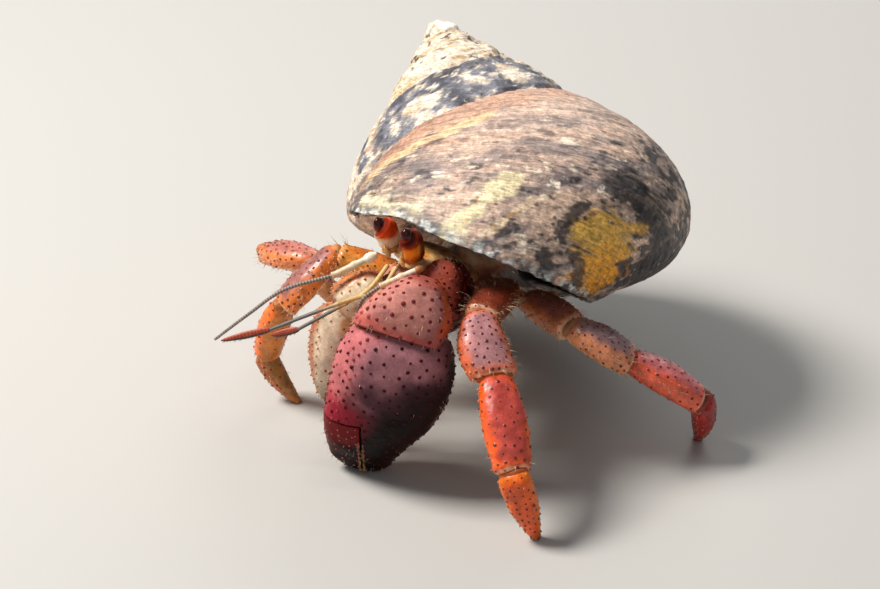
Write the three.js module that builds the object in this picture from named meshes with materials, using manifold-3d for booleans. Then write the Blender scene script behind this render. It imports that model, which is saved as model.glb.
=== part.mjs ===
// A Caribbean land hermit crab walking in a borrowed top shell, life size, in millimetres, +Z up.
// It faces -Y, and +X is its left side. The shell is a logarithmic spiral cut by the plane of its mouth,
// and each plate of the limbs is a loft between two joints.
import * as THREE from "three";
import { mergeVertices } from "three/addons/utils/BufferGeometryUtils.js";
import Module from "manifold-3d";

const wasm = await Module();
wasm.setup();

const V = (x, y, z) => new THREE.Vector3(x, y, z);
const TAU = 2 * Math.PI;

// ---------------------------------------------------------------- driving dimensions
// Everything is laid out from the floor under the head; CENTRE moves the middle of the floor to the origin.
const CENTRE = V(-3.116, 20.563, 0);
const GAP = 0.32;
const UP = V(0, 0, 1);

const SHELL = {
  apex: V(-45.3, 44.9, 57.2),
  axis: V(0.677, -0.198, -0.709),
  out: V(0.544, -0.515, 0.663),
  phase: 1.457,
  growth: 1.765,
  centre: { r: 13.5, h: 51.7 },
  semi: { a: 23.3, b: 36.1 },
  tilt: -0.972,
  shoulder: { size: 0.082, at: -0.381, width: 0.66 },
  umbilicus: 2.2,
  wall: 1.3,
  stretches: [-600, -395, -190],
  end: 50,
  tuck: { from: -70, to: 30, by: 0.3 },
  tip: { along: 3.4, radius: 2.7 },
  mouth: {
    at: V(6.2, 9.4, 38.3),
    normal: V(0.124, -0.541, -0.832),
    along: V(0.735, 0.614, -0.29),
    arch: 1.2,
    halfLength: 30,
    notch: { at: -11, width: 5, depth: 1.2 },
    bulge: 3.2,
  },
};

// Joints of each limb from the body outwards.
const LEGS = {
  leg_left_2: [V(9, 19, 30), V(16.8, 5.9, 30.8), V(25.5, 2.3, 24), V(36.4, -2.4, 12.2), V(39, 0.9, -0.5)],
  leg_left_3: [V(7.5, 23.5, 25.5), V(21.2, 23.3, 25), V(28, 30.7, 19), V(35.5, 40.7, 11), V(30.4, 45, -0.5)],
  leg_right_2: [V(-6, 13.5, 25), V(-18.2, 1, 31), V(-22, -8, 21.7), V(-28.4, -7.4, 9), V(-23.5, -3.5, -0.5)],
  leg_right_3: [V(-8, 20, 22.5), V(-27, 2.6, 25.6), V(-40, 1.8, 22.7), V(-44.5, 14, 13.5), V(-43.5, 23, -0.5)],
};
const CLAW_LEFT = [V(4.5, 12, 27.5), V(9.4, 1.5, 34), V(10.4, -6.1, 28.4), V(2, -7.8, -0.6)];
const CLAW_RIGHT = [V(-3.5, 9, 27.5), V(-1.8, 0.4, 32.4), V(-7.2, -6, 27), V(-8, -8.9, 9.3)];

// The right legs are slimmer than the left ones, which help to close the mouth of the shell.
const GIRTH = {
  leg_left_2: { width: 1, depth: 1 },
  leg_left_3: { width: 1, depth: 1 },
  leg_right_2: { width: 0.76, depth: 0.9 },
  leg_right_3: { width: 0.8, depth: 0.86 },
};
// Plates of a walking leg: width and depth from the near end to the far end.
const LEG_PLATES = [
  { name: "merus", width: [4.6, 7, 6.6], depth: [3.8, 5, 4.6], bow: 0.5 },
  { name: "carpus", width: [5.4, 8.6, 8.2], depth: [4, 5.4, 4.8], bow: 0.7, front: 0.8 },
  { name: "propodus", width: [5.8, 7.8, 6.4], depth: [4.2, 5.4, 4.6], bow: 0.6 },
  { name: "dactyl", width: [5.6, 5, 1.5], depth: [4.4, 4, 1.5], bow: 0.9 },
];

// Each claw: the hand's outline down its length, and where the movable finger is parted from it.
// Finger corners are (share of the hand's length, mm across), from the hinge to the notch to the tip.
const CLAWS = {
  claw_left: {
    joints: CLAW_LEFT,
    facing: V(0.702, -0.549, 0.454),
    merus: { width: [8, 12.5, 12], depth: [5, 7.6, 7] },
    carpus: {
      from: V(8.8, -0.9, 37.4),
      to: V(10.3, -6.3, 28),
      width: [6, 14, 15.6],
      depth: [7, 11, 10],
      bow: 0.8,
      ends: [0.14, 0.06],
      sway: [1.3, 0.5, -0.9],
    },
    hand: {
      width: [16.6, 20.6, 19.6, 14.9, 9.4],
      depth: [10, 14.5, 13.5, 9, 4],
      bow: 0.8,
      sway: [0.5, 0.4, -0.1, -1.5, -1.4],
    },
    finger: [[0.64, -13], [0.51, -2.5], [1.05, 0.4]],
    inner: 1,
  },
  claw_right: {
    joints: CLAW_RIGHT,
    facing: V(0.8, -0.6, 0.1),
    merus: { width: [5, 6.8, 6.6], depth: [4.6, 6, 5.6] },
    carpus: {
      from: V(-2.4, -0.2, 32.2),
      to: V(-7.2, -6, 27),
      width: [6.4, 8.6, 8],
      depth: [5.5, 7, 6.2],
      bow: 0.5,
      ends: [0.25, 0.15],
    },
    hand: { width: [6.8, 9, 8.4, 6.2, 2.4], depth: [5, 6.6, 6, 4.2, 2], bow: 0.4 },
    finger: [[0.5, -7], [0.58, -0.6], [1.05, 0.2]],
    inner: -1,
  },
};

const MAXILLIPED = { width: [3, 3.4, 2], depth: [2.4, 2.8, 1.6] };
const REAR_LEG = { facing: V(0, 0, 1), width: [2.6, 3, 1.6], depth: [2.2, 2.4, 1.6] };

// Trunk: the shield roofs the thorax, and the abdomen coils on up the shell.
const BODY = {
  shield: {
    from: V(0.2, 1.6, 38),
    to: V(-1.5, 17.5, 29.5),
    facing: V(0.05, 0.5, 0.86),
    width: [9, 12, 11],
    depth: [3, 4, 4],
    bow: 0.6,
    ends: [0.2, 0.2],
  },
  thorax: {
    from: V(0.2, 1, 34),
    to: V(-3.5, 25, 22),
    facing: V(0.05, 0.5, 0.86),
    width: [7.5, 13, 12],
    depth: [5.5, 10, 10],
    ends: [0.2, 0.2],
  },
  abdomen: { from: -72, to: -330, centre: { r: 25, h: 58 }, radius: [6.6, 8.4, 8.2, 7.4, 4], steps: 12 },
  rear: {
    left: { from: V(5, 24, 23), to: V(9.5, 29.5, 25), ...REAR_LEG },
    right: { from: V(-11, 24, 20), to: V(-16.5, 27, 19), ...REAR_LEG },
  },
  maxillipeds: {
    left: { from: V(2.2, 4, 28), to: V(1.7, -0.8, 22.5), facing: V(0.4, -0.8, 0.4), ...MAXILLIPED },
    right: { from: V(-2.2, 4, 28), to: V(-1.9, -0.8, 22.5), facing: V(-0.2, -0.8, 0.4), ...MAXILLIPED },
  },
};

// Head, from the floor under it; the right side is given by its own points because the head is turned a little.
const HEAD = {
  eyes: {
    left: { root: V(3.75, 2, 37.4), top: V(4.05, 1.1, 44.1), cornea: V(4.05, 0.1, 43.3) },
    right: { root: V(-2.35, 1.65, 38), top: V(-3.05, 0.75, 43.7), cornea: V(-3.15, -0.3, 42.8) },
  },
  stalk: { width: [2.7, 2.9, 2.5], depth: [4.1, 4.1, 3.6], ends: [0.3, 0.3] },
  cornea: V(0.95, 1.15, 1.5),
  blade: { width: [1, 1.3, 0.6], depth: [0.6, 0.7, 0.5], sides: 6, rings: 6 },
  antennae: {
    left: {
      root: V(6.4, 1.7, 37.8),
      joint: V(3.2, -5.1, 35),
      lash: [V(1.5, -7.7, 32.4), V(0.2, -7.6, 27.6), V(-0.6, -6.4, 21.6)],
    },
    right: {
      root: V(-2.9, -1, 37.6),
      joint: V(-6.4, -8.2, 34.2),
      lash: [V(-11.4, -14.9, 31.6), V(-15.1, -19.8, 27), V(-19.4, -24.3, 21.6)],
    },
  },
  antennules: {
    left: {
      points: [V(1.6, -0.2, 36.6), V(1.6, -4, 33.2), V(-0.1, -9.3, 32.4), V(-7.4, -20.8, 27.4)],
      tip: V(-13, -27.2, 25),
    },
    right: {
      points: [V(-0.6, -0.4, 36.2), V(0.2, -5.4, 33.2), V(-2.4, -9, 30.4), V(-7, -15.2, 25.8)],
      tip: V(-10.6, -18.4, 24.2),
    },
  },
};

const COLOURS = {
  shell: 0x6b625c,
  plate: 0xa8564a,
  claw: 0x6e3440,
  orange: 0xc8602e,
  flesh: 0xd9b48a,
  eye: 0x1b0f0c,
  feeler: 0x8a7f74,
};

// ---------------------------------------------------------------- solids
function toSolid(geometry) {
  const bare = geometry.clone();
  for (const name of Object.keys(bare.attributes)) if (name !== "position") bare.deleteAttribute(name);
  const merged = mergeVertices(bare, 1e-4);
  return new wasm.Manifold(
    new wasm.Mesh({
      numProp: 3,
      vertProperties: new Float32Array(merged.attributes.position.array),
      triVerts: new Uint32Array(merged.index.array),
    }),
  );
}

function toGeometry(solid) {
  const mesh = solid.getMesh();
  const geometry = new THREE.BufferGeometry();
  geometry.setAttribute("position", new THREE.BufferAttribute(new Float32Array(mesh.vertProperties), 3));
  geometry.setIndex(new THREE.BufferAttribute(new Uint32Array(mesh.triVerts), 1));
  geometry.computeVertexNormals();
  return geometry;
}

// Rings of equal length become one closed skin with a fan at each end.
function ringsToSolid(rings) {
  const across = rings[0].length;
  const middle = (ring) => ring.reduce((sum, p) => sum.add(p), V(0, 0, 0)).divideScalar(across);
  const points = [...rings.flat(), middle(rings[0]), middle(rings.at(-1))];
  const first = rings.length * across;
  const faces = [];
  for (let i = 0; i + 1 < rings.length; i++)
    for (let j = 0; j < across; j++) {
      const [a, b] = [i * across + j, i * across + ((j + 1) % across)];
      faces.push(a, b, b + across, a, b + across, a + across);
    }
  for (let j = 0; j < across; j++) {
    const k = (j + 1) % across;
    faces.push(first, k, j, first + 1, first - across + j, first - across + k);
  }
  const build = (index) => {
    const geometry = new THREE.BufferGeometry();
    const numbers = points.flatMap((p) => [p.x, p.y, p.z]);
    geometry.setAttribute("position", new THREE.Float32BufferAttribute(numbers, 3));
    geometry.setIndex(index);
    return toSolid(geometry);
  };
  const solid = build(faces);
  return solid.volume() > 0 ? solid : build(faces.toReversed());
}

const largest = (solid) => solid.decompose().sort((a, b) => b.volume() - a.volume())[0];

// ---------------------------------------------------------------- shell
const shellAxis = SHELL.axis.clone().normalize();
const shellOut = SHELL.out.clone().addScaledVector(shellAxis, -SHELL.out.dot(shellAxis)).normalize();
const shellSide = V(0, 0, 0).crossVectors(shellAxis, shellOut);
const mouthNormal = SHELL.mouth.normal.clone().normalize();
const mouthAlong = SHELL.mouth.along
  .clone()
  .addScaledVector(mouthNormal, -SHELL.mouth.along.dot(mouthNormal))
  .normalize();
const mouthAcross = V(0, 0, 0).crossVectors(mouthNormal, mouthAlong);

// A point of the whorl's section: an ellipse with a shoulder, drawn in by an inset.
function sectionPoint(phi, inset) {
  const [c, s] = [Math.cos(SHELL.tilt), Math.sin(SHELL.tilt)];
  const turn = Math.atan2(Math.sin(phi - SHELL.shoulder.at), Math.cos(phi - SHELL.shoulder.at));
  const swell = 1 + SHELL.shoulder.size * Math.exp(-((turn / SHELL.shoulder.width) ** 2));
  const u = (SHELL.semi.a - inset) * swell * Math.cos(phi);
  const w = (SHELL.semi.b - inset) * swell * Math.sin(phi);
  return { r: SHELL.centre.r + u * c - w * s, h: SHELL.centre.h + u * s + w * c };
}

// The section's stretch outside the umbilicus, closed by a straight line along it.
function whorlSection(inset, inner, steps) {
  const fine = 720;
  const inside = Array.from({ length: fine }, (_, i) => sectionPoint((i / fine) * TAU, inset).r >= inner);
  const start = inside.findIndex((now, i) => now && !inside[(i + fine - 1) % fine]);
  let span = 0;
  while (inside[(start + span + 1) % fine]) span++;
  return Array.from({ length: steps }, (_, i) =>
    sectionPoint(((start + (span * i) / (steps - 1)) / fine) * TAU, inset),
  );
}

const smooth = (t) => {
  const x = THREE.MathUtils.clamp(t, 0, 1);
  return x * x * (3 - 2 * x);
};

// The last of the tube tucks in towards the axis, so the rim closes round the mouth.
function tuckAt(degrees) {
  const { from, to, by } = SHELL.tuck;
  return 1 - by * smooth((degrees - from) / (to - from));
}

// Points past the plane of the mouth are drawn back towards it, which leaves a low bulge.
function pressed(point, bulge = SHELL.mouth.bulge) {
  const past = point.clone().sub(SHELL.mouth.at).dot(mouthNormal) + 1;
  if (past <= 0) return point;
  const kept = bulge * (1 - Math.exp(-past / bulge));
  return point.addScaledVector(mouthNormal, kept - past);
}
const pressedInside = (point) => pressed(point, SHELL.mouth.bulge - 1.2 * SHELL.wall);

// A stretch of the coiled tube between two angles in degrees; 0 is past the far side of the mouth.
function whorl(from, to, steps, section, shape = (point) => point) {
  const rings = Array.from({ length: steps + 1 }, (_, i) => {
    const degrees = from + ((to - from) * i) / steps;
    const scale = SHELL.growth ** (degrees / 360);
    const angle = THREE.MathUtils.degToRad(degrees) + SHELL.phase;
    const radial = shellOut.clone().multiplyScalar(Math.cos(angle)).addScaledVector(shellSide, Math.sin(angle));
    return section.map(({ r, h }) =>
      shape(
        SHELL.apex
          .clone()
          .addScaledVector(radial, scale * r * tuckAt(degrees))
          .addScaledVector(shellAxis, scale * h),
      ),
    );
  });
  return ringsToSolid(rings);
}

// What lies beyond the rim: a thick slab whose face is the plane of the mouth, arched along the rim.
function beyondMouth() {
  const { at, arch, halfLength, notch } = SHELL.mouth;
  const rise = (u) =>
    arch * (1 - (u / halfLength) ** 2) + notch.depth * Math.exp(-(((u - notch.at) / notch.width) ** 2));
  const reach = 90;
  const top = 80;
  const limit = 1.4 * halfLength;
  const columns = 20;
  const rings = [-reach, reach].map((v) => {
    const place = (u, w) =>
      at.clone().addScaledVector(mouthAlong, u).addScaledVector(mouthAcross, v).addScaledVector(mouthNormal, w);
    const edge = Array.from({ length: columns + 1 }, (_, i) => {
      const u = limit * (-1 + (2 * i) / columns);
      return place(u, -rise(u));
    });
    const foot = -rise(limit);
    return [place(-reach, foot), ...edge, place(reach, foot), place(reach, top), place(-reach, top)];
  });
  return ringsToSolid(rings);
}

// The tip is solid; from there the tube is built stretch by stretch, each hollow stopping at what it winds round.
function makeShell() {
  const { stretches, end, umbilicus, wall, tip } = SHELL;
  const outer = whorlSection(0, umbilicus, 16);
  const inner = whorlSection(wall, umbilicus + 2 * wall, 12);
  const deep = whorlSection(2 * wall, umbilicus + 4 * wall, 10);
  const point = new THREE.SphereGeometry(tip.radius, 8, 6);
  point.translate(...SHELL.apex.clone().addScaledVector(shellAxis, tip.along));
  let built = toSolid(point);
  for (let k = 0; k < 3; k++)
    built = built.add(whorl(stretches[0] - 180 * (k + 1), stretches[0] - 180 * k, 7 - k, outer, pressed));
  let hollow;
  for (const [i, to] of stretches.slice(1).entries()) {
    const cave = whorl(stretches[i], to + 1, 8, deep, pressedInside).subtract(built);
    hollow = hollow ? hollow.add(cave) : cave;
    built = built.add(whorl(stretches[i], to, 8, outer, pressed));
  }
  const seam = stretches.at(-1);
  const mouth = whorl(seam, -40, 7, inner).add(whorl(-40, end + 15, 6, inner)).subtract(built);
  const last = whorl(seam, -40, 9, outer).add(whorl(-40, end, 6, outer)).subtract(beyondMouth());
  return largest(built.add(last).subtract(largest(hollow.add(mouth))));
}

// ---------------------------------------------------------------- plates
// A value along a plate, through evenly spaced values.
function along(values, t) {
  const curve = new THREE.SplineCurve(values.map((v, i) => new THREE.Vector2(i, v)));
  return curve.getPoint(t).y;
}

// One plate: a rounded loft from one joint to the next, broad face to `facing`, arched by `bow`.
// `sway` shifts it sideways down its length, and `ends` are the shares of it that round off at the ends.
function plate(spec, grow = 0) {
  const { from, to, facing, width, depth, bow = 0, sway = [0, 0] } = spec;
  const { ends = [0.16, 0.16], sides = 8, rings = 7 } = spec;
  const axis = to.clone().sub(from);
  const length = axis.length();
  axis.normalize();
  const side = V(0, 0, 0).crossVectors(facing, axis).normalize();
  const face = V(0, 0, 0).crossVectors(axis, side);
  const start = from.clone().addScaledVector(axis, -grow);
  const bent = (value) => Math.sign(value) * Math.abs(value) ** 0.85;
  const loft = Array.from({ length: rings }, (_, i) => {
    const t = (1 - Math.cos((Math.PI * (i + 0.25)) / (rings - 0.5))) / 2;
    const round = (x, end) => (x < end ? Math.sqrt(1 - (1 - x / end) ** 2) : 1);
    const taper = round(t, ends[0]) * round(1 - t, ends[1]);
    const w = (along(width, t) / 2) * taper + grow;
    const d = (along(depth, t) / 2) * taper + grow;
    const centre = start
      .clone()
      .addScaledVector(axis, t * (length + 2 * grow))
      .addScaledVector(side, along(sway, t))
      .addScaledVector(face, 4 * t * (1 - t) * bow);
    return Array.from({ length: sides }, (_, j) => {
      const a = (TAU * (j + 0.5)) / sides;
      return centre
        .clone()
        .addScaledVector(side, w * bent(Math.cos(a)))
        .addScaledVector(face, d * bent(Math.sin(a)));
    });
  });
  return ringsToSolid(loft);
}

// A feeler: a thin tapering tube through its points.
function feeler(points, thick, thin, steps, sides = 5) {
  const curve = new THREE.CatmullRomCurve3(points);
  const frames = curve.computeFrenetFrames(steps);
  const rings = Array.from({ length: steps + 1 }, (_, i) => {
    const radius = (thick + ((thin - thick) * i) / steps) / 2;
    const centre = curve.getPointAt(i / steps);
    return Array.from({ length: sides }, (_, j) => {
      const a = (TAU * j) / sides;
      return centre
        .clone()
        .addScaledVector(frames.normals[i], radius * Math.cos(a))
        .addScaledVector(frames.binormals[i], radius * Math.sin(a));
    });
  });
  return ringsToSolid(rings);
}

function ellipsoid(centre, radii, axis = UP, detail = [12, 8]) {
  const ball = new THREE.SphereGeometry(1, ...detail);
  ball.rotateX(Math.PI / 2);
  ball.scale(radii.x, radii.y, radii.z);
  ball.applyQuaternion(new THREE.Quaternion().setFromUnitVectors(UP, axis.clone().normalize()));
  ball.translate(centre.x, centre.y, centre.z);
  return toSolid(ball);
}

// ---------------------------------------------------------------- assembly
const parts = [];
// `make(grow)` returns the solid, swollen by grow; a later part is cut clear of the parts it names.
function part(name, colour, make, clearOf = []) {
  parts.push({ name, colour, make, clearOf });
}

// The direction square to a plate's axis that is nearest to `way`.
const facingFrom = (way, from, to) => {
  const axis = to.clone().sub(from);
  return V(0, 0, 0).crossVectors(V(0, 0, 0).crossVectors(axis, way), axis);
};

function addLegs() {
  for (const [leg, joints] of Object.entries(LEGS))
    LEG_PLATES.forEach(({ front = 0, width, depth, ...shape }, i) => {
      const next = LEG_PLATES[i + 1];
      const way = shape.name === "dactyl" ? joints[i].clone().sub(joints[i - 1]) : UP;
      const facing = facingFrom(way, joints[i], joints[i + 1]);
      const bulge = leg.startsWith("leg_left") ? -front : front;
      const spec = {
        from: joints[i],
        to: joints[i + 1],
        facing,
        sway: [0, bulge, bulge, 0],
        width: width.map((w) => w * GIRTH[leg].width),
        depth: depth.map((d) => d * GIRTH[leg].depth),
        ...shape,
      };
      const colour = i < 2 ? COLOURS.plate : COLOURS.orange;
      part(`${leg}_${shape.name}`, colour, (grow) => plate(spec, grow), next ? [`${leg}_${next.name}`] : []);
    });
}

// The stretch of a hand that belongs to the movable finger, as a thick slab through the hand.
function fingerZone({ joints, facing, finger, inner }, shift) {
  const axis = joints[3].clone().sub(joints[2]);
  const length = axis.length();
  axis.normalize();
  const side = V(0, 0, 0).crossVectors(facing, axis).normalize();
  const face = V(0, 0, 0).crossVectors(axis, side);
  const past = 1.2 * length;
  const edge = finger.map(([t, across]) => [t * length + shift, across - shift]);
  const outline = [...edge, [past, edge.at(-1)[1]], [past, edge[0][1]]];
  const rings = [-30, 30].map((depth) =>
    outline.map(([down, across]) =>
      joints[2]
        .clone()
        .addScaledVector(axis, down)
        .addScaledVector(side, inner * across)
        .addScaledVector(face, depth),
    ),
  );
  return ringsToSolid(rings);
}

function addClaws() {
  for (const [name, claw] of Object.entries(CLAWS)) {
    const { joints, facing, merus, carpus, hand } = claw;
    const handSpec = { from: joints[2], to: joints[3], facing, sides: 12, rings: 9, ends: [0.1, 0.1], ...hand };
    const whole = (grow) => plate(handSpec, grow);
    part(`${name}_merus`, COLOURS.claw,
      (grow) => plate({ from: joints[0], to: joints[1], facing, ...merus }, grow), [`${name}_carpus`]);
    part(`${name}_carpus`, COLOURS.plate,
      (grow) => plate({ facing, sides: 10, ...carpus }, grow), [`${name}_hand`]);
    part(`${name}_hand`, COLOURS.claw, (grow) =>
      grow ? whole(grow) : whole(0).subtract(fingerZone(claw, 0)));
    part(`${name}_finger`, COLOURS.claw, (grow) =>
      whole(grow).intersect(fingerZone(claw, GAP)));
  }
}

function addBody() {
  const { shield, thorax, abdomen, rear, maxillipeds } = BODY;
  part("carapace_shield", COLOURS.flesh, (grow) => plate(shield, grow),
    ["eyestalk_left", "eyestalk_right", "claw_left_merus"]);
  const roots = [...Object.keys(CLAWS), ...Object.keys(LEGS)].map((limb) => `${limb}_merus`);
  part("thorax", COLOURS.flesh, (grow) => plate(thorax, grow),
    ["carapace_shield", "maxilliped_left", "maxilliped_right", ...roots]);
  part("abdomen", COLOURS.flesh, (grow) => coil(abdomen, grow), ["thorax"]);
  for (const side of ["left", "right"]) {
    part(`rear_leg_${side}`, COLOURS.plate, (grow) => plate(rear[side], grow));
    part(`maxilliped_${side}`, COLOURS.flesh, (grow) => plate(maxillipeds[side], grow), [`claw_${side}_merus`]);
  }
}

// The soft abdomen follows the middle of the shell's tube.
function coil({ from, to, centre, radius, steps }, grow) {
  const sides = 10;
  const rings = Array.from({ length: steps + 1 }, (_, i) => {
    const degrees = from + ((to - from) * i) / steps;
    const scale = SHELL.growth ** (degrees / 360);
    const angle = THREE.MathUtils.degToRad(degrees) + SHELL.phase;
    const radial = shellOut.clone().multiplyScalar(Math.cos(angle)).addScaledVector(shellSide, Math.sin(angle));
    const middle = SHELL.apex
      .clone()
      .addScaledVector(radial, scale * centre.r)
      .addScaledVector(shellAxis, scale * centre.h);
    const thickness = scale * along(radius, i / steps) + grow;
    return Array.from({ length: sides }, (_, j) => {
      const a = (TAU * j) / sides;
      return middle
        .clone()
        .addScaledVector(radial, thickness * Math.cos(a))
        .addScaledVector(shellAxis, thickness * Math.sin(a));
    });
  });
  return ringsToSolid(rings);
}

function addHead() {
  for (const [side, { root, top, cornea }] of Object.entries(HEAD.eyes)) {
    const stalk = (grow) => plate({ from: root, to: top, facing: V(0, -1, 0.2), ...HEAD.stalk }, grow);
    const eye = (grow) => ellipsoid(cornea, HEAD.cornea.clone().addScalar(grow), top.clone().sub(root), [10, 6]);
    part(`eyestalk_${side}`, COLOURS.orange, stalk, [`eye_${side}`]);
    part(`eye_${side}`, COLOURS.eye, eye);
  }
  for (const [side, { root, joint, lash }] of Object.entries(HEAD.antennae)) {
    const base = { from: root, to: joint, facing: UP, width: [2.6, 1.5, 1.2], depth: [2.4, 1.4, 1.2], rings: 6 };
    part(`antenna_${side}_peduncle`, COLOURS.feeler, (grow) => plate(base, grow));
    part(`antenna_${side}_lash`, COLOURS.feeler,
      () => feeler([joint, ...lash], 0.9, 0.6, 8), [`antenna_${side}_peduncle`]);
  }
  for (const [side, { points, tip }] of Object.entries(HEAD.antennules)) {
    const blade = { from: points.at(-1), to: tip, facing: V(0.7, -0.5, 0.4), ...HEAD.blade };
    part(`antennule_${side}_peduncle`, COLOURS.feeler,
      () => feeler(points, 1.3, 0.9, 8), [`antennule_${side}_lash`]);
    part(`antennule_${side}_lash`, COLOURS.orange, (grow) => plate(blade, grow));
  }
}

part("shell", COLOURS.shell, () => makeShell());
addBody();
addHead();
addClaws();
addLegs();

const FLOOR = (() => {
  const slab = new THREE.BoxGeometry(400, 400, 40);
  slab.translate(0, 0, -20);
  return toSolid(slab);
})();

const group = new THREE.Group();
group.position.set(-CENTRE.x, -CENTRE.y, 0);
for (const { name, colour, make, clearOf } of parts) {
  let solid = make(0);
  for (const other of clearOf) solid = solid.subtract(parts.find((p) => p.name === other).make(GAP));
  solid = largest(solid.subtract(FLOOR));
  const material = new THREE.MeshStandardMaterial({ color: colour, roughness: 0.6 });
  const mesh = new THREE.Mesh(toGeometry(solid), material);
  mesh.name = name;
  group.add(mesh);
}

export default group;
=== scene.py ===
"""Looks of the hermit crab: plates with tubercles, skin, eyes, feelers, bristles and the sea snail shell.

Lengths are in millimetres in part.mjs's head frame, and place() puts them in the row frame in metres."""
import math

import bpy
import numpy as np
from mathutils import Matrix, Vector


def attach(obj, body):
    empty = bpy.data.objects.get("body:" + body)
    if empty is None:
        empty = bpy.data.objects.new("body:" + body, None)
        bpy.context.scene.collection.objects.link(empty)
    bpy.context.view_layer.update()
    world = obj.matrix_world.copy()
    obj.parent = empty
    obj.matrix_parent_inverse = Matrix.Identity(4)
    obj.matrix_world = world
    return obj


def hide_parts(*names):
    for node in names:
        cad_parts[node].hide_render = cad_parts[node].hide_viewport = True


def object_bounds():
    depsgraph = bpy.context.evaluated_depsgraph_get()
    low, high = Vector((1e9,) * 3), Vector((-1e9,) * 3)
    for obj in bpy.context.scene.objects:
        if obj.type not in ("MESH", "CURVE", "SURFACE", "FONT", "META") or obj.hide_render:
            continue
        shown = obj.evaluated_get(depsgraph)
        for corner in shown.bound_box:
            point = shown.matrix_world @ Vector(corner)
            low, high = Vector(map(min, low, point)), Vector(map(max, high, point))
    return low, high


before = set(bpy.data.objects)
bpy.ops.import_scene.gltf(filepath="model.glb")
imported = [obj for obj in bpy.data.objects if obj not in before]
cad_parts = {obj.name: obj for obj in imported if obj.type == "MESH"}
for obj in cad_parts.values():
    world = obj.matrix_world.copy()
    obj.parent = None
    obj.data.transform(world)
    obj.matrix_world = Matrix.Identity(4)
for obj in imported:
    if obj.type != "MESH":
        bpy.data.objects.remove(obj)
cad_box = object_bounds()

# The row frame's origin, in the head frame.
CENTRE = np.array([-3.116, 20.563, 0.0])
UP = np.array([0.0, 0.0, 1.0])
FINE = 1.0
rng = np.random.default_rng(11)


def V(*p):
    """A point or direction."""
    return np.array(p, float)


def unit(v):
    """Directions of length 1."""
    return v / np.linalg.norm(v, axis=-1, keepdims=True)


def step(lo, hi, x):
    """A smooth step of x from 0 at lo to 1 at hi, whichever is larger."""
    x = np.clip((x - lo) / (hi - lo), 0, 1)
    return x * x * (3 - 2 * x)


def rgb(r, g, b):
    """A colour given by its screen values, as light."""
    c = np.array([r, g, b], float) / 255
    return np.where(c <= 0.04045, c / 12.92, ((c + 0.055) / 1.055) ** 2.4)


def mix(a, b, w):
    """a where the weight w is 0 and b where it is 1."""
    w = np.asarray(w)[..., None]
    return a * (1 - w) + b * w


def layered(colour, *layers):
    """Layers of (paint, weight) laid over a colour in turn."""
    for tone, weight in layers:
        colour = mix(colour, tone, weight)
    return colour


def lattice(i, seed):
    """A fixed random value from -1 to 1 at each whole-number point."""
    h = i[..., 0] * 374761393 + i[..., 1] * 668265263 + i[..., 2] * 2147483647 + seed * 974634777
    for shift, factor in ((13, 1274126177), (16, 2246822519)):
        h = h & 0xFFFFFFFF
        h = (h ^ (h >> shift)) * factor
    return (h & 0xFFFF) / 32767.5 - 1


def noise(p, seed=0, octaves=3):
    """Smooth noise from about -1 to 1 at points p."""
    total, weight, size = 0, 0, 1.0
    for k in range(octaves):
        q = p * 2.0**k + 17.3 * k
        i = np.floor(q).astype(np.int64)
        f = q - i
        f = f * f * (3 - 2 * f)
        value = 0
        for x in (0, 1):
            for y in (0, 1):
                for z in (0, 1):
                    w = np.abs(1 - x - f[..., 0]) * np.abs(1 - y - f[..., 1]) * np.abs(1 - z - f[..., 2])
                    value = value + w * lattice(i + np.array([x, y, z]), seed)
        total, weight, size = total + size * value, weight + size, size / 2
    return total / weight * 1.6


# Meshes
class Shape:
    """Points, faces and per-point colour of one piece."""

    def __init__(self):
        self.points, self.faces, self.tints, self.flows, self.count = [], [], [], [], 0

    def add(self, points, faces, tint, flow=None):
        points = np.asarray(points, float).reshape(-1, 3)
        self.points.append(points)
        self.faces.extend(f + self.count for f in faces)
        self.tints.append(np.broadcast_to(tint, points.shape))
        self.flows.append(np.broadcast_to(V(0, 0, 0) if flow is None else flow, points.shape))
        self.count += len(points)

    def by_size(self):
        """The faces as one array of quads and one of triangles, where there are any."""
        kinds = [[f for f in self.faces if f.shape[1] == corners] for corners in (4, 3)]
        return [np.concatenate(kind) for kind in kinds if kind]


def grid_faces(rows, across):
    """Quads of a grid of points whose columns close up into a tube."""
    i, j = np.meshgrid(np.arange(rows - 1) * across, np.arange(across), indexing="ij")
    k = (j + 1) % across
    return np.stack([i + j, i + k, i + across + k, i + across + j], -1).reshape(-1, 4)


def caps(rows, across):
    """Fans from the two middle points that follow the grid's own points."""
    j = np.arange(across)
    k = (j + 1) % across
    first, last = rows * across, (rows - 1) * across
    return np.concatenate([
        np.stack([np.full(across, first), k, j], -1),
        np.stack([np.full(across, first + 1), last + j, last + k], -1),
    ])


def tube(grid):
    """A closed tube through a grid of points, as (points, faces), the middles of its two ends coming last."""
    points = np.concatenate([grid.reshape(-1, 3), grid[0].mean(0)[None], grid[-1].mean(0)[None]])
    return points, [grid_faces(*grid.shape[:2]), caps(*grid.shape[:2])]


def with_ends(values):
    """Values of a grid's points, and those of the two middle points after them."""
    return np.concatenate([values, values[[0, -1]]])


LOW, HIGH = (np.array(c) for c in cad_box)


def place(points):
    """Head frame in mm to row frame in m, kept inside the solids' own box."""
    return np.clip((points - CENTRE) * 0.001, LOW + 1e-6, HIGH - 1e-6)


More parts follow.
